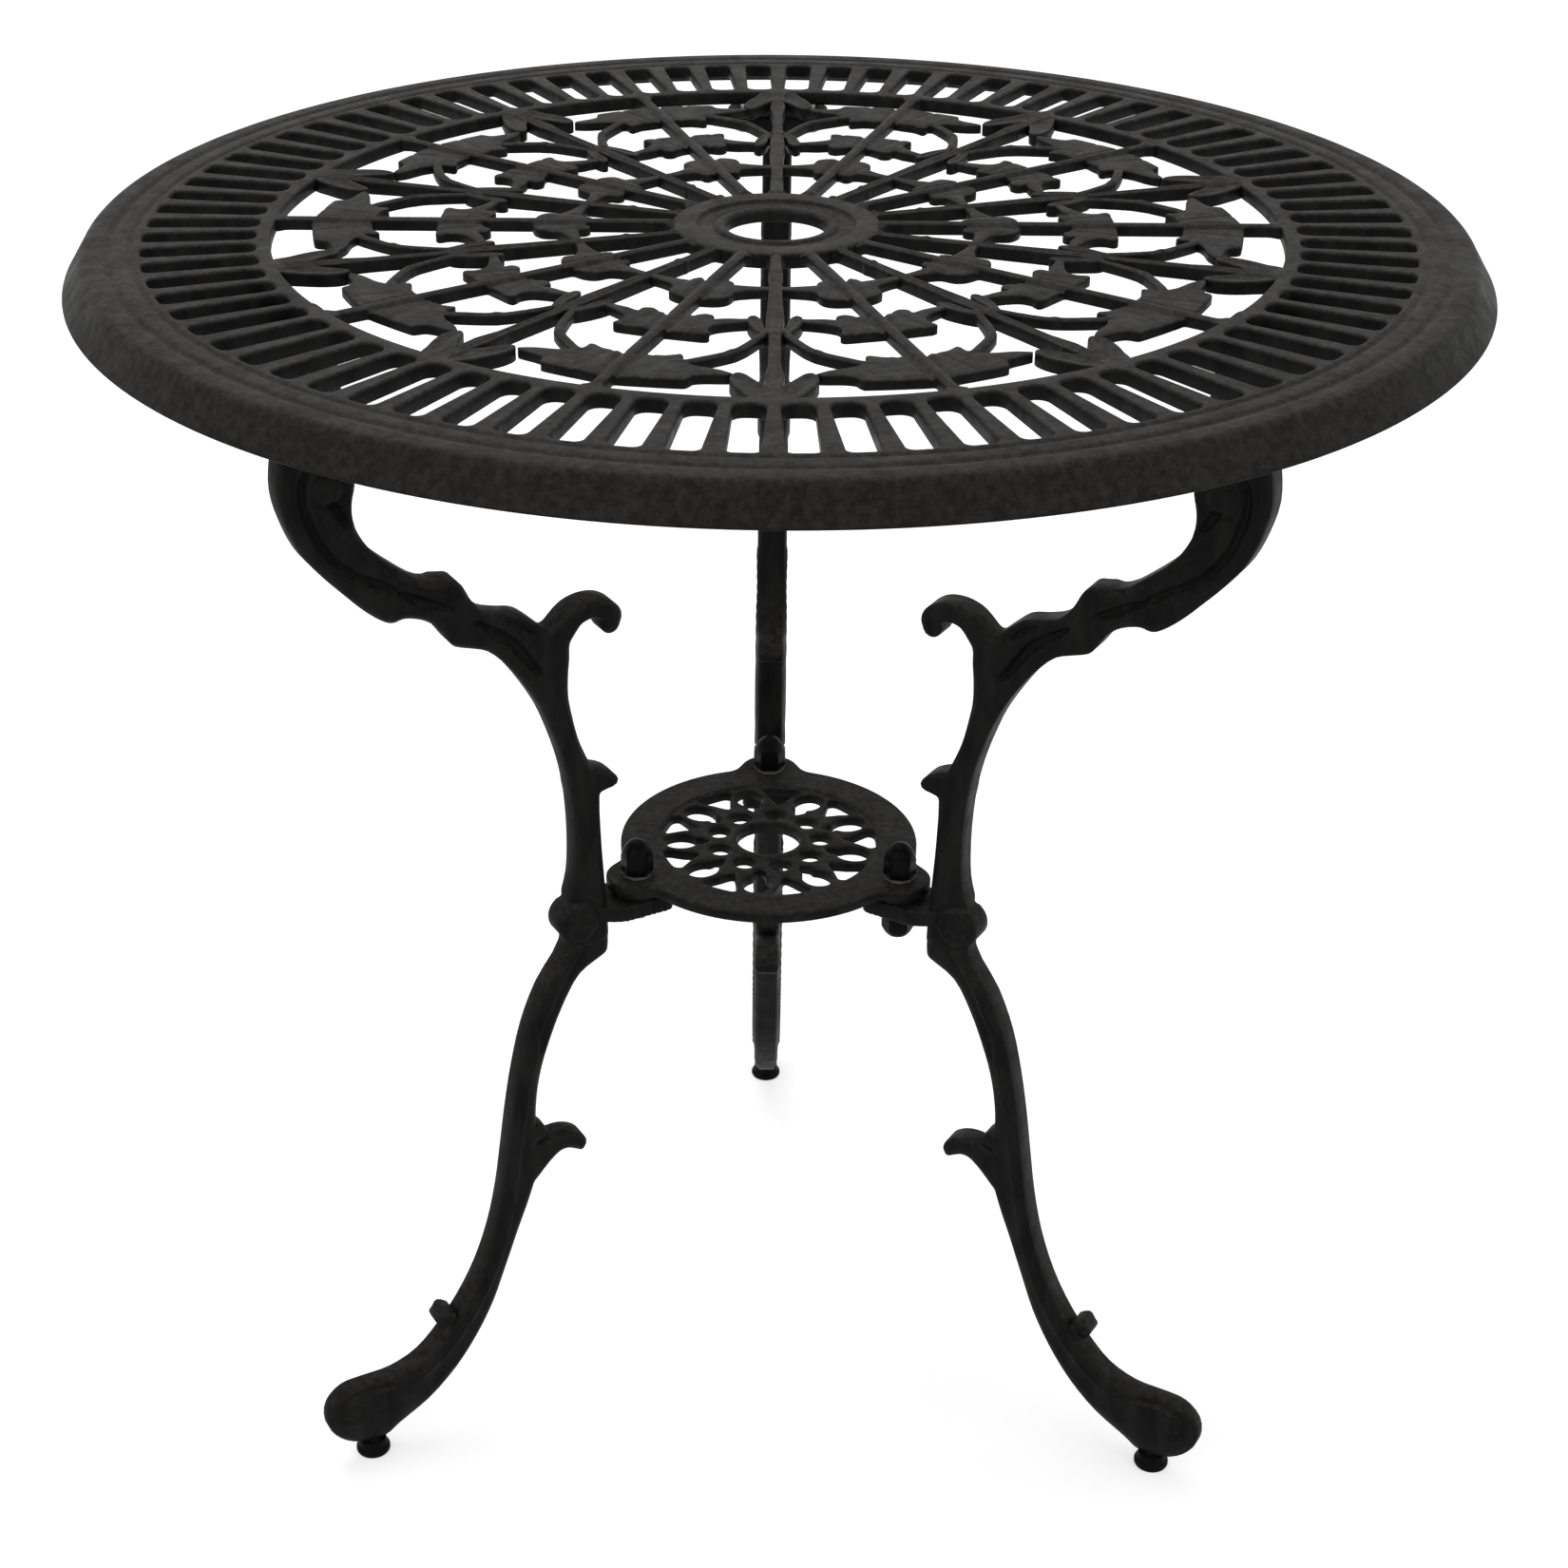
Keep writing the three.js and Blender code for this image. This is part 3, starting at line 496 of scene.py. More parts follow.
def between_hub_and_ring(distance, height, x, y):
    """Keeps a bar inside the hub's and ring's bodies at its ends, and sinks it there."""
    out = np.hypot(x, y)
    ends = np.maximum(HUB_RADIUS - 3 - out, out - RING_INNER - 3.5)
    sunk = 0.8 * smooth_step(HUB_RADIUS + 1 - out, 0, 2) + 0.05 + 1.5 * np.maximum(out - RING_INNER - 1.5, 0)
    return np.maximum(distance, ends), height - sunk


def spoke_parts(x, y):
    """A plain spoke with a narrow roof, its three leaves and two curls."""
    across = np.abs(x)
    near_ring = smooth_step(y, RING_INNER - 7, RING_INNER)
    near_hub = smooth_step(-y, -HUB_RADIUS - 5, -HUB_RADIUS)
    flare = 2.6 * (near_ring + near_hub) ** 2
    roof = -0.5 * np.maximum(across - 0.8, 0) * (1 - near_ring)
    parts = [between_hub_and_ring(across - SPOKE_HALF - flare, roof, x, y)]
    for leaf in (LARGE_LEAF, MIDDLE_LEAF, SMALL_LEAF):
        distance = outline_distance(smooth_curve(mirrored(leaf), closed=True, steps=4), x, y)
        vein = 0.4 * bump(across - 9 - 0.35 * (y - leaf[0][1]), 1.2)
        beside = 0.9 * bump(across - SPOKE_HALF - 1.5, 1.2)
        parts.append((distance, -LEAF_DROP + 0.3 * smooth_step(-distance, 0.5, 4) - vein - beside))
    for side in (-1, 1):
        curve = smooth_curve(CURL, steps=4)
        distance = stroke_distance([(side * px, py, r) for px, py, r in curve], x, y)
        knot = np.hypot(x - side * CURL_KNOT[0], y - CURL_KNOT[1])
        distance = distance - 0.45 * bump(knot, 2)
        crown = -0.9 - 1.3 * np.maximum(2.3 + distance, 0) ** 2 / 2.3 ** 2
        parts.append((distance, crown + 0.4 * bump(knot, 2)))
    return parts


VINE_HALF = [
    (44, 2.7), (72, 2.7), (74.5, 3.3), (77, 3.0), (100, 3.1), (125, 3.5), (140, 4.0), (150, 3.6), (158, 2.9),
    (160.5, 3.6), (163, 2.8), (185, 2.7), (200, 2.8), (214, 4.3), (228, 3.4), (250, 3.6),
]
VINE_DROP = 0.45
PETAL = [
    (3, 246), (9, 243), (13.5, 234), (17, 226), (18.7, 218.5), (18, 213), (15.5, 210), (12.5, 211.5),
    (9, 217), (6, 222), (3, 226), (0, 232),
]
LEAFLET = [
    (2.4, 162.5), (3.2, 156), (4.8, 150.5), (5.4, 145), (6.6, 140.2), (9.2, 136.6), (11.6, 138), (12.2, 143),
    (11.2, 149), (9.2, 155), (6.4, 160.5),
]


def vine_parts(x, y):
    """A vine with a fluted stem, a joint, a pair of leaflets at its node and two petals at the ring."""
    across = np.abs(x)
    half = np.interp(y, *np.array(VINE_HALF).T)
    near_ring = smooth_step(y, RING_INNER - 9, RING_INNER + 1)
    near_hub = smooth_step(-y, -HUB_RADIUS - 4, -HUB_RADIUS)
    stem = across - half - 2.5 * near_ring ** 2 - 2 * near_hub ** 2
    share = np.clip(across / half, 0, 1)
    flutes = -0.45 * (1 - np.cos(2 * math.pi * share)) * (1 - near_ring)
    joint = 0.3 * bump(y - 74.5, 1.6) + 0.35 * bump(y - 160.5, 1.8)
    crown = flutes + joint - VINE_DROP * (1 - near_ring)
    parts = [between_hub_and_ring(stem, crown, x, y)]
    fan = np.arctan2(across - 2, 250 - y)
    for outline, drop in ((PETAL, 0.9), (LEAFLET, 1.2)):
        distance = outline_distance(smooth_curve(outline, closed=True, steps=4), across, y)
        dish = 0.75 * smooth_step(-distance, 0.8, 4)
        lines = 0.12 * np.cos(26 * fan) * smooth_step(-distance, 1, 3)
        merge = drop * near_ring * (outline is PETAL)
        parts.append((distance, -drop + merge * 0.6 - dish * (1 - near_ring) + lines))
    return parts


def field_and_front(parts_of, blend, top):
    """The field and front height functions of a pattern's parts."""
    def field(x, y):
        return raised(parts_of(x, y), blend)[0]

    def front(x, y):
        return top + raised(parts_of(x, y), blend)[1]
    return field, front


def level(height):
    """A flat face at a height."""
    return lambda x, y: np.full(x.shape, float(height))


def openwork():
    """The spokes with their leaves and the vines between them, from the hub to the ring."""
    field, front = field_and_front(spoke_parts, 1.6, TOP)
    spoke = relief(field, front, level(TOP - LEAF_DEPTH), (SPOKE_SPAN, PATTERN_SPAN), SPOKE_STEP)
    field, front = field_and_front(vine_parts, 1.4, TOP)
    vine = relief(field, front, level(TOP - VINE_DEPTH), (VINE_SPAN, PATTERN_SPAN), VINE_STEP)
    for k in range(SPOKES):
        turn = 360 * k / SPOKES
        add_piece(f"top_spoke_{k}", turned(spoke[0], turn - 90), spoke[1], CAST, ["table_top"])
        add_piece(f"top_vine_{k}", turned(vine[0], turn - 72), vine[1], CAST, ["table_top"])


# Table top: the hub and the slotted ring
SLOTS = 80
SLOT_INNER = 249.0
SLOT_OUTER = 302.5
SLOT_HALF = 7.0
SLOT_CORNER_INNER = 5.2
SLOT_CORNER_OUTER = 3.6
SLOT_EASE = 1.3
SLOT_LIMIT = 304.6
CORNER_POINTS = 6


# The hub's top from the hole outward: a start, then how far out from it and how far below the top
HUB_STEPS = [
    (HOLE_RADIUS, [(0, 3.9), (0.3, 3.1), (0.9, 2.3)]),
    (HUB_LIP, [(-1, 1.8), (0.2, 1.6), (1.4, 1.8), (2.3, 2.3), (2.8, 3), (3.3, 3.3), (3.9, 3.1), (4.6, 2.7)]),
    (HUB_DISH, [(-1.6, 2.5), (-0.9, 2.8), (-0.4, 2.7), (0, 1.6), (0.4, 1.15), (1.1, 1)]),
    (HUB_RADIUS, [(-2.4, 1), (-1.2, 1.12), (-0.35, 1.5), (0, 2.3)]),
]


def hub():
    """A round boss, dished round the parasol hole and with a raised lip at the hole."""
    low = TOP - HUB_DEPTH
    profile = [(HOLE_RADIUS + 0.6, low), (HOLE_RADIUS, low + 0.6)]
    for start, steps in HUB_STEPS:
        profile += [(start + out, TOP - drop) for out, drop in steps]
    profile += [(HUB_RADIUS, low + 0.7), (HUB_RADIUS - 0.7, low)]
    points, faces = lathe(profile, even_turns(144))
    add_piece("top_hub", points, faces, CAST, ["table_top"])


def slot_loop(grow):
    """Round a slot on the x axis, grown by a length, clockwise from its outer corner on the positive side."""
    loop = []
    for corner in range(4):
        outer = corner < 2
        side = 1 if corner in (0, 3) else -1
        radius = SLOT_CORNER_OUTER if outer else SLOT_CORNER_INNER
        centre_out = SLOT_OUTER - radius if outer else SLOT_INNER + radius
        centre_across = side * (SLOT_HALF - radius)
        for k in range(CORNER_POINTS):
            turn = math.radians(90 - 90 * corner - 90 * k / (CORNER_POINTS - 1))
            reach = radius + grow
            loop.append((centre_out + reach * math.cos(turn), centre_across + reach * math.sin(turn)))
    return loop


def slot_cell():
    """One slot with its share of the ring's faces: points as radius, angle and height, and the faces."""
    half_turn = math.pi / SLOTS
    inner, outer = RING_INNER + 1, SLOT_LIMIT
    under = TOP - RING_DEPTH
    ease = SLOT_EASE
    rings = [
        (ease + 0.45, TOP), (ease, TOP), (0.55 * ease, TOP - 0.15 * ease), (0.15 * ease, TOP - 0.5 * ease),
        (0, TOP - ease), (0, under + 0.6), (0.6, under), (1, under),
    ]
    points, faces = [], []
    count = 4 * CORNER_POINTS
    for grow, height in rings:
        for out, across in slot_loop(grow):
            points.append((math.hypot(out, across), math.atan2(across, out), height))
    for upper in range(len(rings) - 1):
        for k in range(count):
            a, b = upper * count + k, upper * count + (k + 1) % count
            faces.append([b, a, a + count, b + count])
    for ring, height, flip in ((0, TOP, False), (len(rings) - 1, under, True)):
        start = len(points)
        for k in range(count):
            radius, turn, _ = points[ring * count + k]
            corner, place = divmod(k, CORNER_POINTS)
            on_side = (place < CORNER_POINTS // 2) == (corner in (0, 2))
            if on_side:
                points.append((radius, math.copysign(half_turn, turn), height))
            else:
                points.append((outer if corner < 2 else inner, turn, height))
        for corner in range(4):
            side = 1 if corner in (0, 3) else -1
            points.append((outer if corner < 2 else inner, side * half_turn, height))
        for k in range(count):
            ahead = (k + 1) % count
            face = [ring * count + k, ring * count + ahead, start + ahead, start + k]
            corner, place = divmod(k, CORNER_POINTS)
            if place == CORNER_POINTS // 2 - 1:
                face.insert(3, start + count + corner)
            faces.append(face[::-1] if flip else face)
    return points, faces


def ring_turns(radius, points):
    """The angles of a cell's points at a radius on its top, over all the cells."""
    at_radius = [turn for out, turn, height in points if abs(out - radius) < 1e-6 and height == TOP]
    own = sorted({round(turn, 7) for turn in at_radius})
    return [2 * math.pi * (i + 0.5) / SLOTS + turn for i in range(SLOTS) for turn in own[:-1]]


# From the slots outward, as radius and height above the top: two grooves, the shoulder, skirt and underside
RIM = [
    (SLOT_LIMIT, 0), (305.2, -0.12), (306.3, -0.75), (307.1, -1), (307.9, -0.75), (309, -0.1), (310, 0),
    (313, 0), (315, -0.04), (316, -0.4), (316.9, -0.95), (317.7, -1.1), (318.5, -0.95), (319.4, -0.4),
    (320.4, -0.04), (322, 0), (326.4, 0), (328.2, -0.25), (329.6, -0.9), (330.8, -2.1), (331.8, -3.8),
    (334, -7.3), (336.4, -11.2), (338.6, -14.8), (TOP_RADIUS - 0.4, -16.3), (TOP_RADIUS - 0.2, -16.8),
    (TOP_RADIUS - 0.6, SKIRT_LOW - TOP), (TOP_RADIUS - 3.4, SKIRT_LOW - TOP), (TOP_RADIUS - 4, -16.6),
    (327.5, -7.7), (325, -RING_DEPTH), (SLOT_LIMIT, -RING_DEPTH),
]
# From the underside up to the top at the openwork: out from the ring's inner radius, and height above the top
INNER_WALL = [
    (1, -RING_DEPTH), (0.6, -RING_DEPTH), (0, 0.6 - RING_DEPTH), (0, -1), (0.25, -0.45), (0.6, -0.12), (1, 0),
]


def slotted_ring():
    """The ring round the openwork: slots, two grooves, a soft shoulder and the sloping skirt."""
    polar, faces = slot_cell()
    out, turn, height = np.array(polar).T
    pieces = []
    for i in range(SLOTS):
        here = turn + 2 * math.pi * (i + 0.5) / SLOTS
        pieces.append((np.column_stack([out * np.cos(here), out * np.sin(here), height]), faces))
    rim = [(radius, TOP + z) for radius, z in RIM]
    pieces.append(lathe(rim, ring_turns(SLOT_LIMIT, polar), closed=False))
    wall = [(RING_INNER + radius, TOP + z) for radius, z in INNER_WALL]
    pieces.append(lathe(wall, ring_turns(RING_INNER + 1, polar), closed=False))
    points, faces = welded(*gathered(pieces))
    add_piece("top_ring", points, faces, CAST, ["table_top"])


# Lower plate
PLATE_RADIUS = 80.0
PLATE_DEPTH = 6.0
EAR_RADIUS = 16.5
EAR_DEPTH = 9.5
CELLS = 9
CELL_TURN = 3
PLATE_HOLE = 17.3
COLLAR = 21.5
BEAD_RADIUS = 60.5
BOLT_HOLE = 3.5
CORD_WIDTH = 1.9
CORD_HEIGHT = 0.9
PLATE_STEP = 0.8
PLATE_SPAN = ((-89, 89), (-83, 101))
# Ovals between the cords: where they are out from the axis, and their half sizes across and out
ROUND = (28, 6.1, 5.7)
OVAL = (47.4, 7.5, 9.2)


def turned_grid(x, y, degrees):
    """A grid's coordinates in a frame turned by an angle: across and out along that direction."""
    c, s = math.cos(math.radians(degrees)), math.sin(math.radians(degrees))
    return x * s - y * c, x * c + y * s


def oval_distance(x, y, half_x, half_y):
    """Nearly the signed distance to an ellipse."""
    level_set = np.hypot(x / half_x, y / half_y)
    slope = np.hypot(x / half_x ** 2, y / half_y ** 2) / np.maximum(level_set, 1e-6)
    return (level_set - 1) / np.maximum(slope, 1e-6)


WEDGE = [(0, 40.6), (3, 44), (5, 47.5), (8, 51.5), (10.2, 55), (8.6, 57.6), (0, 58.3)]
DIAMOND = [(0, 32), (2.4, 34.4), (3.6, 36.4), (2.4, 38.6), (0, 40.2)]


def plate_cells(x, y):
    """Distance to the nearest opening, negative inside one."""
    radius, turn = np.hypot(x, y), np.degrees(np.arctan2(y, x)) - CELL_TURN
    step = 360 / CELLS
    nearest = radius - PLATE_HOLE
    for offset, (place, half_x, half_y), outline in ((0, ROUND, WEDGE), (0.5, OVAL, DIAMOND)):
        local = np.radians((turn - offset * step + step / 2) % step - step / 2)
        across, out = radius * np.sin(local), radius * np.cos(local)
        oval = oval_distance(across, out - place, half_x, half_y)
        cut = outline_distance(smooth_curve(mirrored(outline), closed=True, steps=4), across, out)
        nearest = np.minimum(nearest, np.minimum(oval, cut))
    return nearest


def plate_edge(x, y):
    """Distance to the plate's outer edge, a disc with three ears, negative inside."""
    distance = np.hypot(x, y) - PLATE_RADIUS
    for angle in LEG_ANGLES.values():
        across, out = turned_grid(x, y, angle)
        distance = smooth_least(distance, np.hypot(across, out - BOLT_RADIUS) - EAR_RADIUS, 9)
    return distance


def lower_plate():
    """The pierced plate with a cord round each opening, and a thicker boss under each ear."""
    def field(x, y):
        holes = plate_cells(x, y)
        for angle in LEG_ANGLES.values():
            across, out = turned_grid(x, y, angle)
            holes = np.minimum(holes, np.hypot(across, out - BOLT_RADIUS) - BOLT_HOLE)
        return np.minimum(-plate_edge(x, y), holes)

    def front(x, y):
        radius = np.hypot(x, y)
        cord = CORD_HEIGHT * (1 - np.clip(plate_cells(x, y) / CORD_WIDTH, 0, 1)) ** 2
        inside = smooth_step(BEAD_RADIUS - radius, 0, 1.2)
        openwork = smooth_step(BEAD_RADIUS - 3.5 - radius, 0, 2.5)
        collar = 0.9 * smooth_step(COLLAR + 0.8 - radius, 0, 1.6)
        return PLATE_TOP - 0.1 - 0.8 * inside - cord * openwork * (radius > COLLAR - 1) + collar

    def back(x, y):
        return PLATE_TOP - PLATE_DEPTH - smooth_step(BEAD_RADIUS - np.hypot(x, y), -1, 0.5)

    pieces = [relief(field, front, back, PLATE_SPAN, PLATE_STEP, edge=1.1)]
    outer, low = EAR_RADIUS - 2.4, PLATE_TOP - EAR_DEPTH
    boss = [(BOLT_HOLE, low), (BOLT_HOLE, low + 4), (outer, low + 4)]
    boss += [(outer, low + 1.2), (outer - 0.4, low + 0.4), (outer - 1.2, low)]
    boss_points, boss_faces = lathe(boss, even_turns(64))
    for angle in LEG_ANGLES.values():
        pieces.append((turned(boss_points + [BOLT_RADIUS, 0, 0], angle), boss_faces))
    points, faces = gathered(pieces)
    add_piece("plate_casting", points, faces, CAST, ["lower_plate"])


# Legs: the frame has the distance out from the table's axis and the height
LEG_OUTER = [
    (247.5, 651), (251.5, 632), (257.5, 611), (263, 592), (264.3, 576), (260.8, 560.5), (254.8, 545.9),
    (245.6, 533.3), (235.8, 522.2), (225.9, 511.6), (216.6, 504), (211.8, 502), (205.9, 503), (196.6, 500.3),
    (190.3, 495.8), (186, 489.5), (181, 483), (172.6, 479.8), (163.4, 476.2), (152.3, 464.9), (142.5, 450.7),
    (134.4, 436), (128.3, 420), (123.2, 403.1), (120, 386.2), (118.5, 369), (118.2, 351.9), (119.3, 334.6),
    (123.4, 319), (126, 306.2), (124.6, 293.5), (138.9, 271.6), (148.4, 249.4), (154.8, 224.5),
    (159.4, 199.7), (163, 175.7), (167, 150.5), (172.9, 126.1), (182, 102.4), (193.4, 82.8), (205.4, 68),
    (219, 56.2), (235.2, 51), (251.8, 50.8), (265.3, 50), (274.6, 41.9), (276, 28.5), (269.2, 17), (258, 10),
]
LEG_INNER = [
    (243, 9), (234.6, 14.4), (216.5, 25.7), (199.9, 41.7), (186.3, 59.8), (175.4, 79.6), (167.1, 101),
    (158.9, 122.6), (150.9, 142.9), (146, 160), (146.2, 187), (145.1, 206.3), (141.5, 224.8), (135.3, 242.4),
    (127.9, 259.3), (117.4, 276.1), (104, 283.6), (101.4, 285.4), (100.7, 288.5), (100.5, 299), (101.5, 323),
    (103, 347), (103.9, 370), (104.3, 388.2), (111, 404.7), (115.7, 417), (118.5, 429.8), (120.3, 442),
    (120, 454), (119.3, 466), (124, 475), (130, 479), (136.7, 485.3), (144.6, 491.7), (154.5, 494.2),
    (164, 497.7), (170.8, 505.2), (174.1, 511.6), (177.7, 516.8), (184.4, 518.9), (194.9, 520.3),
    (207.9, 529.8), (219.3, 540.3), (225.6, 549.7), (228.6, 559.1), (228.5, 567.3), (226.5, 576),
    (226.5, 592), (228.5, 610), (231, 632), (233.5, 651),
]
ARM_HOOK = [
    (129, 468, 7), (122, 477, 6.4), (115, 484, 5.6), (107, 486.3, 5.2), (100, 485, 5.4), (95.5, 480.5, 5.8),
    (96, 476, 5.2),
]
THORN = [(110, 389, 9), (101.5, 388.5, 6), (96.5, 387, 3.6)]
SHIN_HOOK = [
    (150, 162, 9), (141, 168.5, 7.4), (133, 171.8, 6), (126, 171.3, 5.2), (120.5, 168, 4.4), (119, 165, 2.6),
]
SHIN_KNOB = [(146, 182, 6), (142, 181.5, 3.4)]
KNEE_BOSS = (118, 308.5, 11.5)
BUD = (204, 77, 5.8)
LEG_HALF = 8.2
LEG_EDGE_HALF = 4.6
LEG_BEVEL = 4.6
HEAD_DEPTH = 7.0
HEAD_HALF_LENGTH = 17.0
HEAD_HALF_WIDTH = 28.0
HEAD_SCREW_SPACING = 36.0
HEAD_CORNER = 9.0
TONGUE_TOP = PLATE_TOP - EAR_DEPTH - 0.3
TONGUE_DEPTH = 9.0
TONGUE_HALF = 15.2
TONGUE_END = 65.0
TONGUE_ROOT = 112.0
LEG_STEP = 1.35
LEG_SPAN = ((80, 280), (5, 655))
HEAD_SPAN = ((226, 266), (-31, 31))
TONGUE_SPAN = ((60, 122), (-18, 18))

# Lines drawn in relief on both of a leg's sides. The hollows' points hold a half width as well.
VOLUTE_EYE = (240, 576)
LONG_GROOVE = [
    (236.5, 590), (245.5, 590), (251.5, 584), (253, 574), (251, 563.5), (247.5, 553), (242, 543.5),
    (235, 535.5), (227.5, 529.5), (219, 524.5), (211, 519),
]
SECOND_GROOVE = [(208, 517, 1.4), (200, 512, 2.6), (192.5, 508, 2.6), (183.5, 503.5, 1.6)]
POCKET = [(239.5, 569, 1.2), (235.5, 564, 2.8), (232.5, 557.5, 1.8)]
ARM_RIDGES = [
    [(242, 560), (237.5, 550), (230, 541), (220, 532.5), (209, 525), (197, 518), (186, 514)],
    [(231, 552), (224, 543), (214, 534.5), (203, 526.5), (193, 521)],
]
LOBE_VEIN = [(229, 527), (222, 520), (215, 512.5), (210, 506)]
COLLARS = [
    [(181, 520), (177, 510), (176.5, 498), (182, 485)],
    [(188, 518), (184, 509), (184.5, 498), (188, 491)],
]
OUTER_RECESS = [(169, 493, 1.4), (161, 487, 2.5), (150.5, 478.5, 2.9), (142.5, 467.5, 2.7), (136, 458.5, 1.9)]
UPPER_RECESS = [(153, 490.5, 1), (146, 486, 2.3), (139.5, 480.5, 1.4)]
ARM_RIDGE = [(124, 440), (119, 420), (114.5, 400), (112, 380), (111, 360), (111.5, 340), (112.5, 324)]
ARM_SIDE = [(123, 424), (119, 408), (116.5, 393), (115, 378), (114.5, 362)]
KNEE_FACET = [(105, 301), (109, 297.5), (115, 293), (122, 283), (129, 271), (134.5, 259)]
ALMOND = [(135, 258, 0.8), (138.8, 250.5, 2.3), (141.3, 243.5, 2.5), (142.5, 236, 1)]
SHIN_RIDGE = [
    (117, 294), (125, 284), (132, 272), (137.8, 259.5), (142.3, 248), (145.5, 236), (149, 222), (154, 199),
    (158, 176), (162, 151), (166.8, 127), (173.5, 106), (182, 88), (193, 71), (206, 56.5), (220, 46),
]
FOOT_SWIRL = [
    (228, 38), (236, 43), (246, 45.5), (256, 46), (264, 44), (268.7, 38.5), (268, 32.5), (263.5, 29.8),
    (258.5, 31.5), (257.5, 36.5), (261, 39),
]


# Heights along a line: the height, its distance from the line and its width
CREASES = [
    (LONG_GROOVE, [(-3.9, 0, 1.9), (0.6, 4.4, 1.6)]),
    (ARM_RIDGES[0], [(0.5, 0, 1.1), (-0.6, 2.4, 1)]),
    (ARM_RIDGES[1], [(0.5, 0, 1.1), (-0.6, 2.4, 1)]),
    (LOBE_VEIN, [(0.5, 0, 1)]),
    (COLLARS[0], [(1.1, 0, 1.9)]),
    (COLLARS[1], [(1.1, 0, 1.9)]),
    (ARM_SIDE, [(-0.9, 0, 1.2)]),
    (KNEE_FACET, [(-0.9, 0, 1.5)]),
    (FOOT_SWIRL, [(-1.1, 0, 1.2), (0.3, 2.4, 1.2)]),
]
HOLLOWS = [(SECOND_GROOVE, 4.2), (POCKET, 4.4), (OUTER_RECESS, 4.2), (UPPER_RECESS, 3.2), (ALMOND, 1.6)]
# Ridges with falling sides: height, width, fall per millimetre, how far it falls, and from where to where
RIDGES = [
    (ARM_RIDGE, 0.7, 1.2, 0.07, 6, 318, 440),
    (SHIN_RIDGE, 0.9, 1.1, 0.09, 7, -math.inf, 296),
]


def leg_field(x, z):
    """Distance inside the leg's outline, with its hooks, thorn, boss and bud."""
    body = outline_distance(smooth_curve(LEG_OUTER + LEG_INNER, closed=True, steps=3), x, z)
    for hook, blend in ((ARM_HOOK, 5), (THORN, 3), (SHIN_HOOK, 5), (SHIN_KNOB, 1.5)):
        curve = smooth_curve(hook, steps=4)
        body = smooth_least(body, stroke_distance(curve, x, z), blend)
    for (round_x, round_z, radius), blend in ((KNEE_BOSS, 1.5), (BUD, 2)):
        body = smooth_least(body, np.hypot(x - round_x, z - round_z) - radius, blend)
    return -body


def side_lines(x, z):
    """The height of the creases, hollows and ridges on a leg's side."""
    height = np.zeros(x.shape)
    for points, parts in CREASES:
        distance = line_distance(smooth_curve(points, steps=4), x, z)
        for amount, place, width in parts:
            height = height + amount * bump(distance - place, width)
    for points, depth in HOLLOWS:
        distance = stroke_distance(smooth_curve(points, steps=4), x, z)
        height = height - depth * smooth_step(-distance, -0.9, 1.5)
    for points, amount, width, fall, reach, low, high in RIDGES:
        distance = line_distance(smooth_curve(points, steps=4), x, z)
        sides = fall * np.minimum(distance, reach) * (z > low) * (z < high)
        height = height + amount * bump(distance, width) - sides
    return height


def side_rounds(x, z):
    """The height of the volute's eye, the knee's boss and the bud on a leg's side."""
    eye = np.hypot(x - VOLUTE_EYE[0], z - VOLUTE_EYE[1])
    height = 0.6 * smooth_step(-eye, -7.4, -5) - 2 * bump(eye - 8.4, 1.6) - 0.6 * bump(eye, 2)
    boss = np.hypot(x - KNEE_BOSS[0], z - KNEE_BOSS[1])
    around = np.arctan2(z - KNEE_BOSS[1], x - KNEE_BOSS[0])
    height = height + 0.9 * smooth_step(-boss, -11.5, -9.5) - 1.5 * bump(boss - 12.8, 1.5)
    height = height + (0.45 * np.cos(5 * around + 1.2) - 0.5) * bump(boss - 5.6, 1.9)
    bud = np.hypot(x - BUD[0], z - BUD[1])
    petals = np.cos(4 * np.arctan2(z - BUD[1], x - BUD[0]) + 0.6)
    return height + smooth_step(-bud, -7.5, -4.5) * (0.6 + 0.8 * petals) - bump(bud, 1.6)


def leg_half(x, z):
    """Half the leg's thickness: bevelled toward its outline, rounder at the foot, with its relief."""
    foot = smooth_step(x, 196, 250) * smooth_step(-z, -110, -70)
    share = np.clip(leg_field(x, z) / (LEG_BEVEL + 12 * foot), 0, 1)
    edge = LEG_EDGE_HALF - 2.2 * foot
    return edge + (LEG_HALF - edge) * np.sqrt(1 - (1 - share) ** 2) + side_lines(x, z) + side_rounds(x, z)


def leg_casting():
    """One leg on the XZ plane with X outward: its side relief, its head under the ring and its tongue."""
    def far_side(x, z):
        return -leg_half(x, z)

    points, faces = relief(leg_field, leg_half, far_side, LEG_SPAN, LEG_STEP, edge=1.6, back_edge=1.6)
    points = np.column_stack([points[:, 0], -points[:, 2], points[:, 1]])
    points[:, 2] = np.clip(points[:, 2], FOOT_FLAT, HEAD_TOP - 1)
    pieces = [(points, faces)]
    for shape, top, depth, span in (
        (head_field, HEAD_TOP, HEAD_DEPTH, HEAD_SPAN),
        (tongue_field, TONGUE_TOP, TONGUE_DEPTH, TONGUE_SPAN),
    ):
        pieces.append(relief(shape, level(top), level(top - depth), span, 1.3, edge=1, back_edge=1))
    return gathered(pieces)


def box_distance(x, y, half_x, half_y, corner):
    """Signed distance to a rectangle with round corners."""
    px, py = np.abs(x) - half_x + corner, np.abs(y) - half_y + corner
    return np.hypot(np.maximum(px, 0), np.maximum(py, 0)) + np.minimum(np.maximum(px, py), 0) - corner


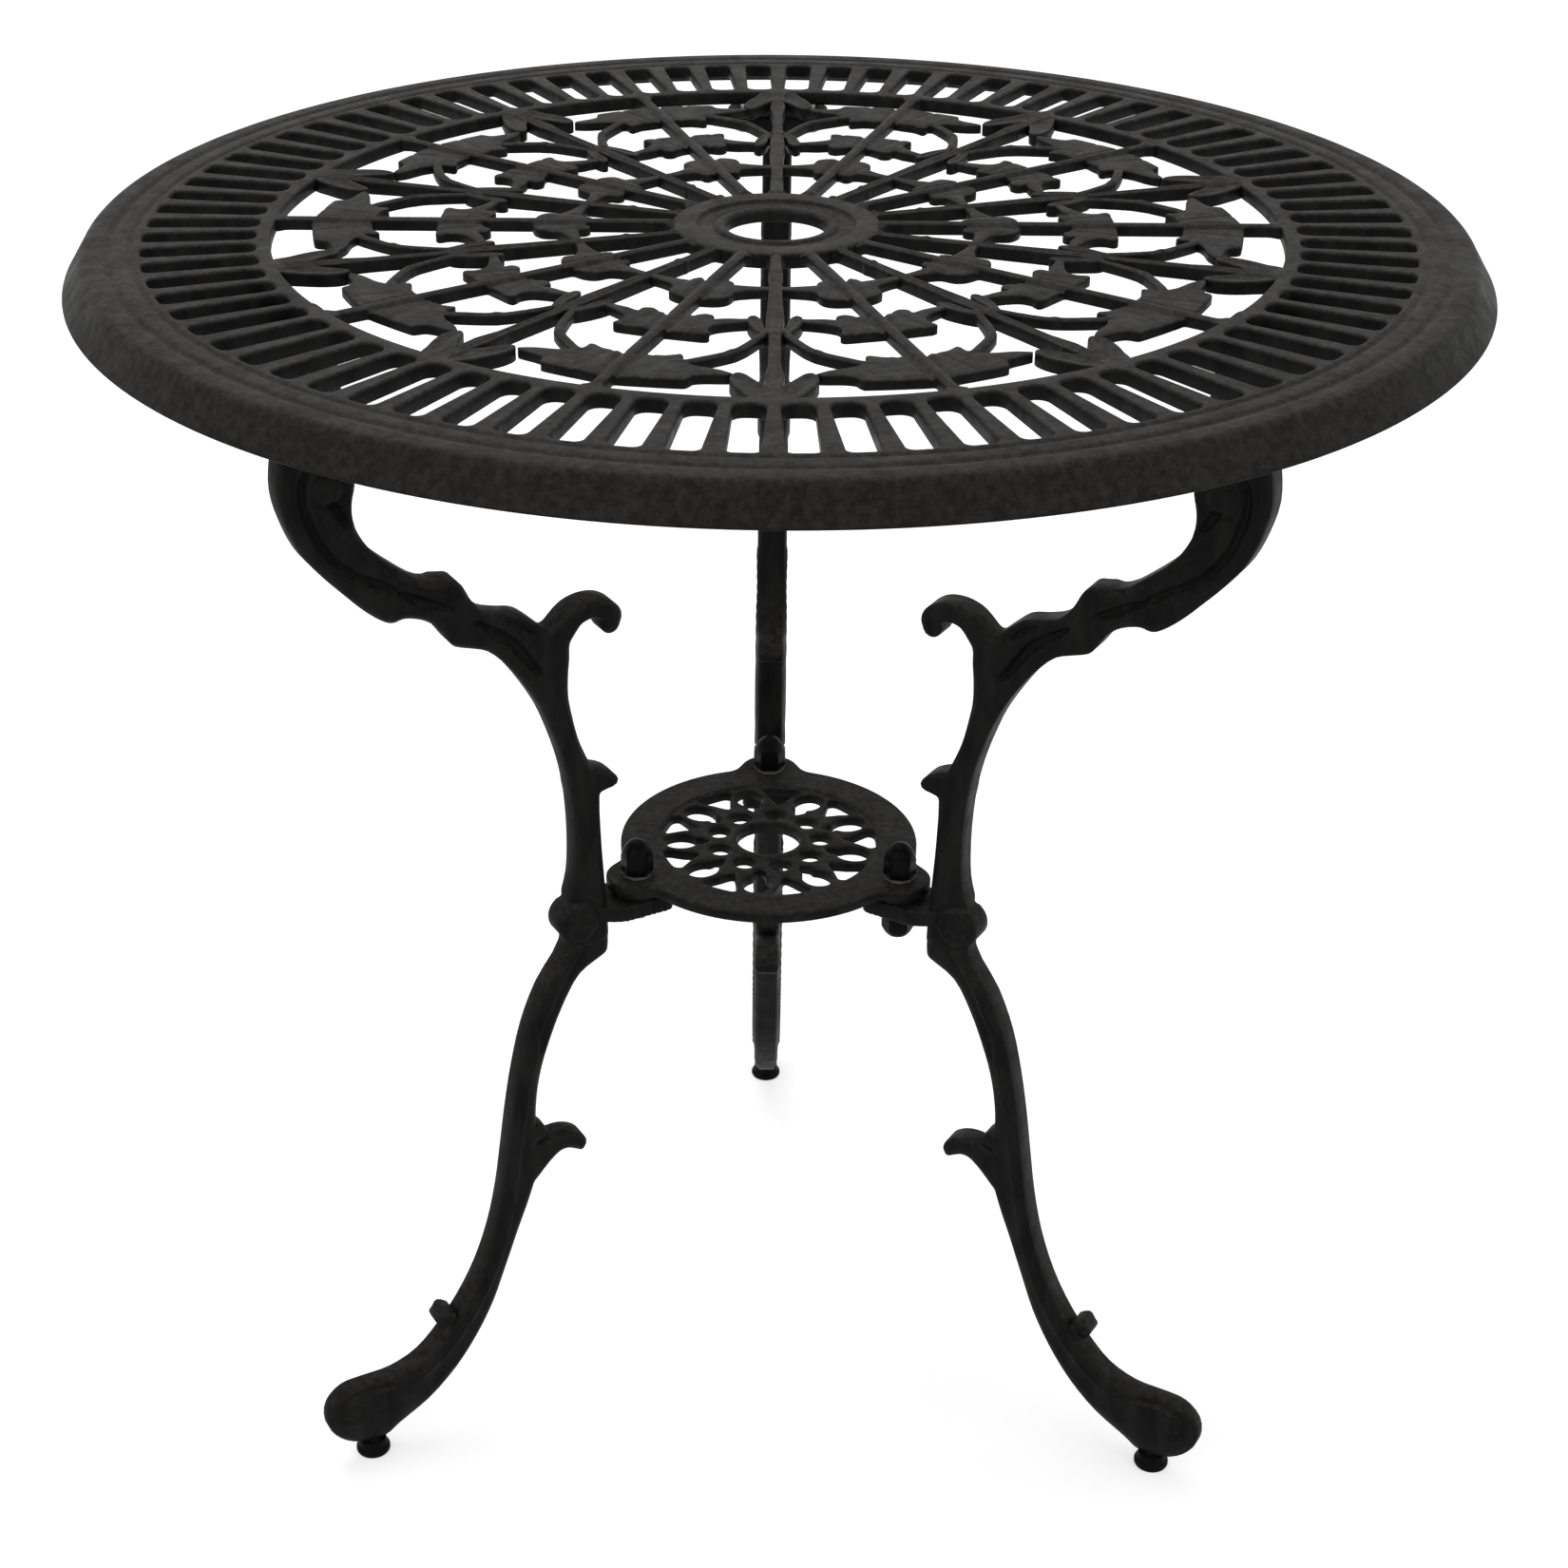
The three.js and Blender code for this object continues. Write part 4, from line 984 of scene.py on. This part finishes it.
def head_field(x, y):
    """The flat head with its two screw holes."""
    plate = box_distance(x - HEAD_OUT, y, HEAD_HALF_LENGTH, HEAD_HALF_WIDTH, HEAD_CORNER)
    hole = np.hypot(x - HEAD_OUT, np.abs(y) - HEAD_SCREW_SPACING / 2) - BOLT_HOLE
    return np.minimum(-plate, hole)


def tongue_field(x, y):
    """A block with a squared end that narrows to the knee, ribbed along its edge."""
    middle = (TONGUE_END + TONGUE_ROOT) / 2
    plate = box_distance(x - middle, y, TONGUE_ROOT - middle, TONGUE_HALF, 4)
    waist = np.abs(y) - np.interp(x, [92, 108], [TONGUE_HALF + 2, 7])
    plate = -smooth_least(-plate, -waist, 4)
    ribs = 0.35 * np.cos(2 * math.pi * x / 3.2) * smooth_step(np.abs(y), 11, 13)
    hole = np.hypot(x - BOLT_RADIUS, y) - BOLT_HOLE
    return np.minimum(-plate + ribs - 0.3, hole)


def legs():
    """The same casting three times."""
    points, faces = leg_casting()
    for side, angle in LEG_ANGLES.items():
        add_piece(f"leg_casting_{side}", turned(points, angle), faces, CAST, [f"leg_{side}"])


# Fastener caps and glides
CAP_FLATS = 15.4
CAP_HEX = 9.0


def cap_shell(height, flats):
    """A cap standing on level 0: six flats that run into a dome, and a pocket underneath."""
    turns = even_turns(96)
    half = flats / 2
    # Share of the reach, height and roundness, from the pocket outward and up
    rows = [(0.72, 2.2, 0), (0.72, 0, 0), (0.96, 0, 0), (1, 0.5, 0)]
    rows += [(1, CAP_HEX / 2, 0), (1, CAP_HEX - 0.6, 0)]
    for lift in np.linspace(0, math.pi / 2, 9):
        rise = math.sin(lift)
        rows.append((max(math.cos(lift), 0.03), CAP_HEX + (height - CAP_HEX) * rise, rise ** 0.4))
    points = []
    for share, z, roundness in rows:
        for t in turns:
            hexagon = half / math.cos((t + math.pi / 6) % (math.pi / 3) - math.pi / 6)
            reach = share * (min(hexagon, half * 1.12) * (1 - roundness) + half * roundness)
            points.append((reach * math.cos(t), reach * math.sin(t), z))
    count, last = len(turns), (len(rows) - 1) * len(turns)
    faces = [list(range(count))[::-1], [last + i for i in range(count)]]
    for k in range(len(rows) - 1):
        for i in range(count):
            j = (i + 1) % count
            faces.append([k * count + i, k * count + j, (k + 1) * count + j, (k + 1) * count + i])
    return np.array(points), faces


def fastener_caps():
    """Plastic caps over the nuts, and upside down over the bolts' heads."""
    for side, angle in LEG_ANGLES.items():
        for kind in ("nut_cap", "bolt_cap"):
            node = f"{kind}_{side}"
            if node not in nodes:
                continue
            low, high = millimetres(node)
            points, faces = cap_shell(high[2] - low[2], CAP_FLATS)
            if kind == "bolt_cap":
                points = points * [1, -1, -1]
                points[:, 2] += high[2]
            else:
                points[:, 2] += low[2]
            points = turned(points + [BOLT_RADIUS, 0, 0], angle)
            add_piece(f"{kind}_shell_{side}", points, faces, PLASTIC, [node])


def glides():
    """The plastic feet, each with its stem in the leg."""
    low, high = GLIDE_LOW[2], GLIDE_HIGH[2]
    radius = (GLIDE_HIGH[0] - GLIDE_LOW[0]) / 2
    seat = FOOT_FLAT - 0.3
    pad = [(1.4, 0), (0.5, 0.3), (0.1, 1.1), (0.1, 2.6), (0.5, 3.3), (1.4, 3.8), (2, 4.4)]
    profile = [(0.01, low)] + [(radius - less, low + up) for less, up in pad]
    profile += [(radius - 2, seat - 0.3), (radius - 2.4, seat), (4, seat), (4, high), (0.01, high)]
    points, faces = lathe(profile[::-1], even_turns(64))
    for side, angle in LEG_ANGLES.items():
        placed = turned(points + [FOOT_RADIUS, 0, 0], angle)
        add_piece(f"glide_foot_{side}", placed, faces, PLASTIC, [f"glide_{side}"])


def fasteners():
    """The CAD fasteners stay as they are and get their zinc."""
    for name, node in nodes.items():
        if name.startswith(("plate_bolt", "plate_washer", "plate_nut", "top_screw")):
            node.data.materials.clear()
            node.data.materials.append(ZINC)


# Camera, floor and light
CAMERA_PLACE = (0.0, -1.3052, 1.0631)
CAMERA_PITCH = 0.4957
CAMERA_HEADING = 0.0264
CAMERA_LENS = 63.56
CAMERA_SHIFT = 0.0504
FLOOR_REACH = 12.0
FLOOR_COLOUR = 0.72
FLOOR_SHOWN = 0.54
FLOOR_FAR_SHOWN = 0.68
WORLD_LIGHT = 0.5


def camera():
    """The photograph's viewpoint."""
    data = bpy.data.cameras.new("camera")
    data.sensor_width = 36
    data.lens = CAMERA_LENS
    data.shift_x = CAMERA_SHIFT
    data.clip_start = 0.05
    view = bpy.data.objects.new("camera", data)
    view.location = CAMERA_PLACE
    view.rotation_euler = (math.pi / 2 - CAMERA_PITCH, 0, CAMERA_HEADING)
    bpy.context.scene.collection.objects.link(view)
    bpy.context.scene.camera = view


def seen(tree):
    """1 for rays from the camera, from a mirror or through glass, and 0 for the light on the object."""
    path = tree.nodes.new("ShaderNodeLightPath")
    share = path.outputs["Is Camera Ray"]
    for name in ("Is Glossy Ray", "Is Transmission Ray"):
        node = tree.nodes.new("ShaderNodeMath")
        node.operation = "MAXIMUM"
        tree.links.new(share, node.inputs[0])
        tree.links.new(path.outputs[name], node.inputs[1])
        share = node.outputs[0]
    return share


def floor():
    """A pale floor that is seen white, whiter away from the table, with the table's shadow on it."""
    reach = FLOOR_REACH
    mesh = bpy.data.meshes.new("floor")
    corners = [(-reach, -reach, 0), (reach, -reach, 0), (reach, reach, 0), (-reach, reach, 0)]
    mesh.from_pydata(corners, [], [(0, 1, 2, 3)])
    material = bpy.data.materials.new("pale_floor")
    material.use_nodes = True
    tree = material.node_tree
    shader = tree.nodes["Principled BSDF"]
    shader.inputs["Base Color"].default_value = (FLOOR_COLOUR, FLOOR_COLOUR, FLOOR_COLOUR, 1)
    shader.inputs["Roughness"].default_value = 0.9
    shader.inputs["Specular IOR Level"].default_value = 0.0
    shader.inputs["Emission Color"].default_value = (1, 1, 1, 1)
    place = tree.nodes.new("ShaderNodeTexCoord").outputs["Object"]
    distance = tree.nodes.new("ShaderNodeVectorMath")
    distance.operation = "LENGTH"
    tree.links.new(place, distance.inputs[0])
    strength = ranged(tree, distance.outputs["Value"], 0.5, 2.5, FLOOR_SHOWN, FLOOR_FAR_SHOWN)
    shown = tree.nodes.new("ShaderNodeMath")
    shown.operation = "MULTIPLY"
    tree.links.new(seen(tree), shown.inputs[0])
    tree.links.new(strength, shown.inputs[1])
    tree.links.new(shown.outputs[0], shader.inputs["Emission Strength"])
    mesh.materials.append(material)
    piece = bpy.data.objects.new("floor", mesh)
    bpy.context.scene.collection.objects.link(piece)


def world():
    """Soft even light from all round, seen as white."""
    scene = bpy.context.scene
    scene.view_settings.view_transform = "Standard"
    scene.world = bpy.data.worlds.new("studio")
    scene.world.use_nodes = True
    tree = scene.world.node_tree
    tree.nodes.clear()
    mix = tree.nodes.new("ShaderNodeMixShader")
    tree.links.new(seen(tree), mix.inputs[0])
    for place, strength in ((1, WORLD_LIGHT), (2, 1.0)):
        background = tree.nodes.new("ShaderNodeBackground")
        background.inputs["Color"].default_value = (1, 1, 1, 1)
        background.inputs["Strength"].default_value = strength
        tree.links.new(background.outputs[0], mix.inputs[place])
    tree.links.new(mix.outputs[0], tree.nodes.new("ShaderNodeOutputWorld").inputs[0])


def lamp(name, place, target, size, power):
    """A round area lamp that points at a target."""
    data = bpy.data.lights.new(name, "AREA")
    data.shape = "DISK"
    data.size = size
    data.energy = power
    light = bpy.data.objects.new(name, data)
    light.location = place
    way = np.array(target, float) - np.array(place, float)
    light.rotation_euler = (
        math.atan2(math.hypot(way[0], way[1]), -way[2]),
        0,
        math.atan2(way[1], way[0]) - math.pi / 2,
    )
    bpy.context.scene.collection.objects.link(light)


def lights():
    """Soft light from above, and weaker light from both sides of the camera."""
    lamp("overhead", (-0.3, 0.6, 2.6), (0, 0, 0.5), 2.2, 32)
    lamp("front_fill", (-1.6, -2.0, 1.6), (0, 0, 0.4), 1.6, 13)
    lamp("right_fill", (2.0, -1.2, 1.4), (0, 0, 0.4), 1.4, 8)


camera()
floor()
world()
lights()
openwork()
hub()
slotted_ring()
lower_plate()
legs()
fastener_caps()
glides()
fasteners()
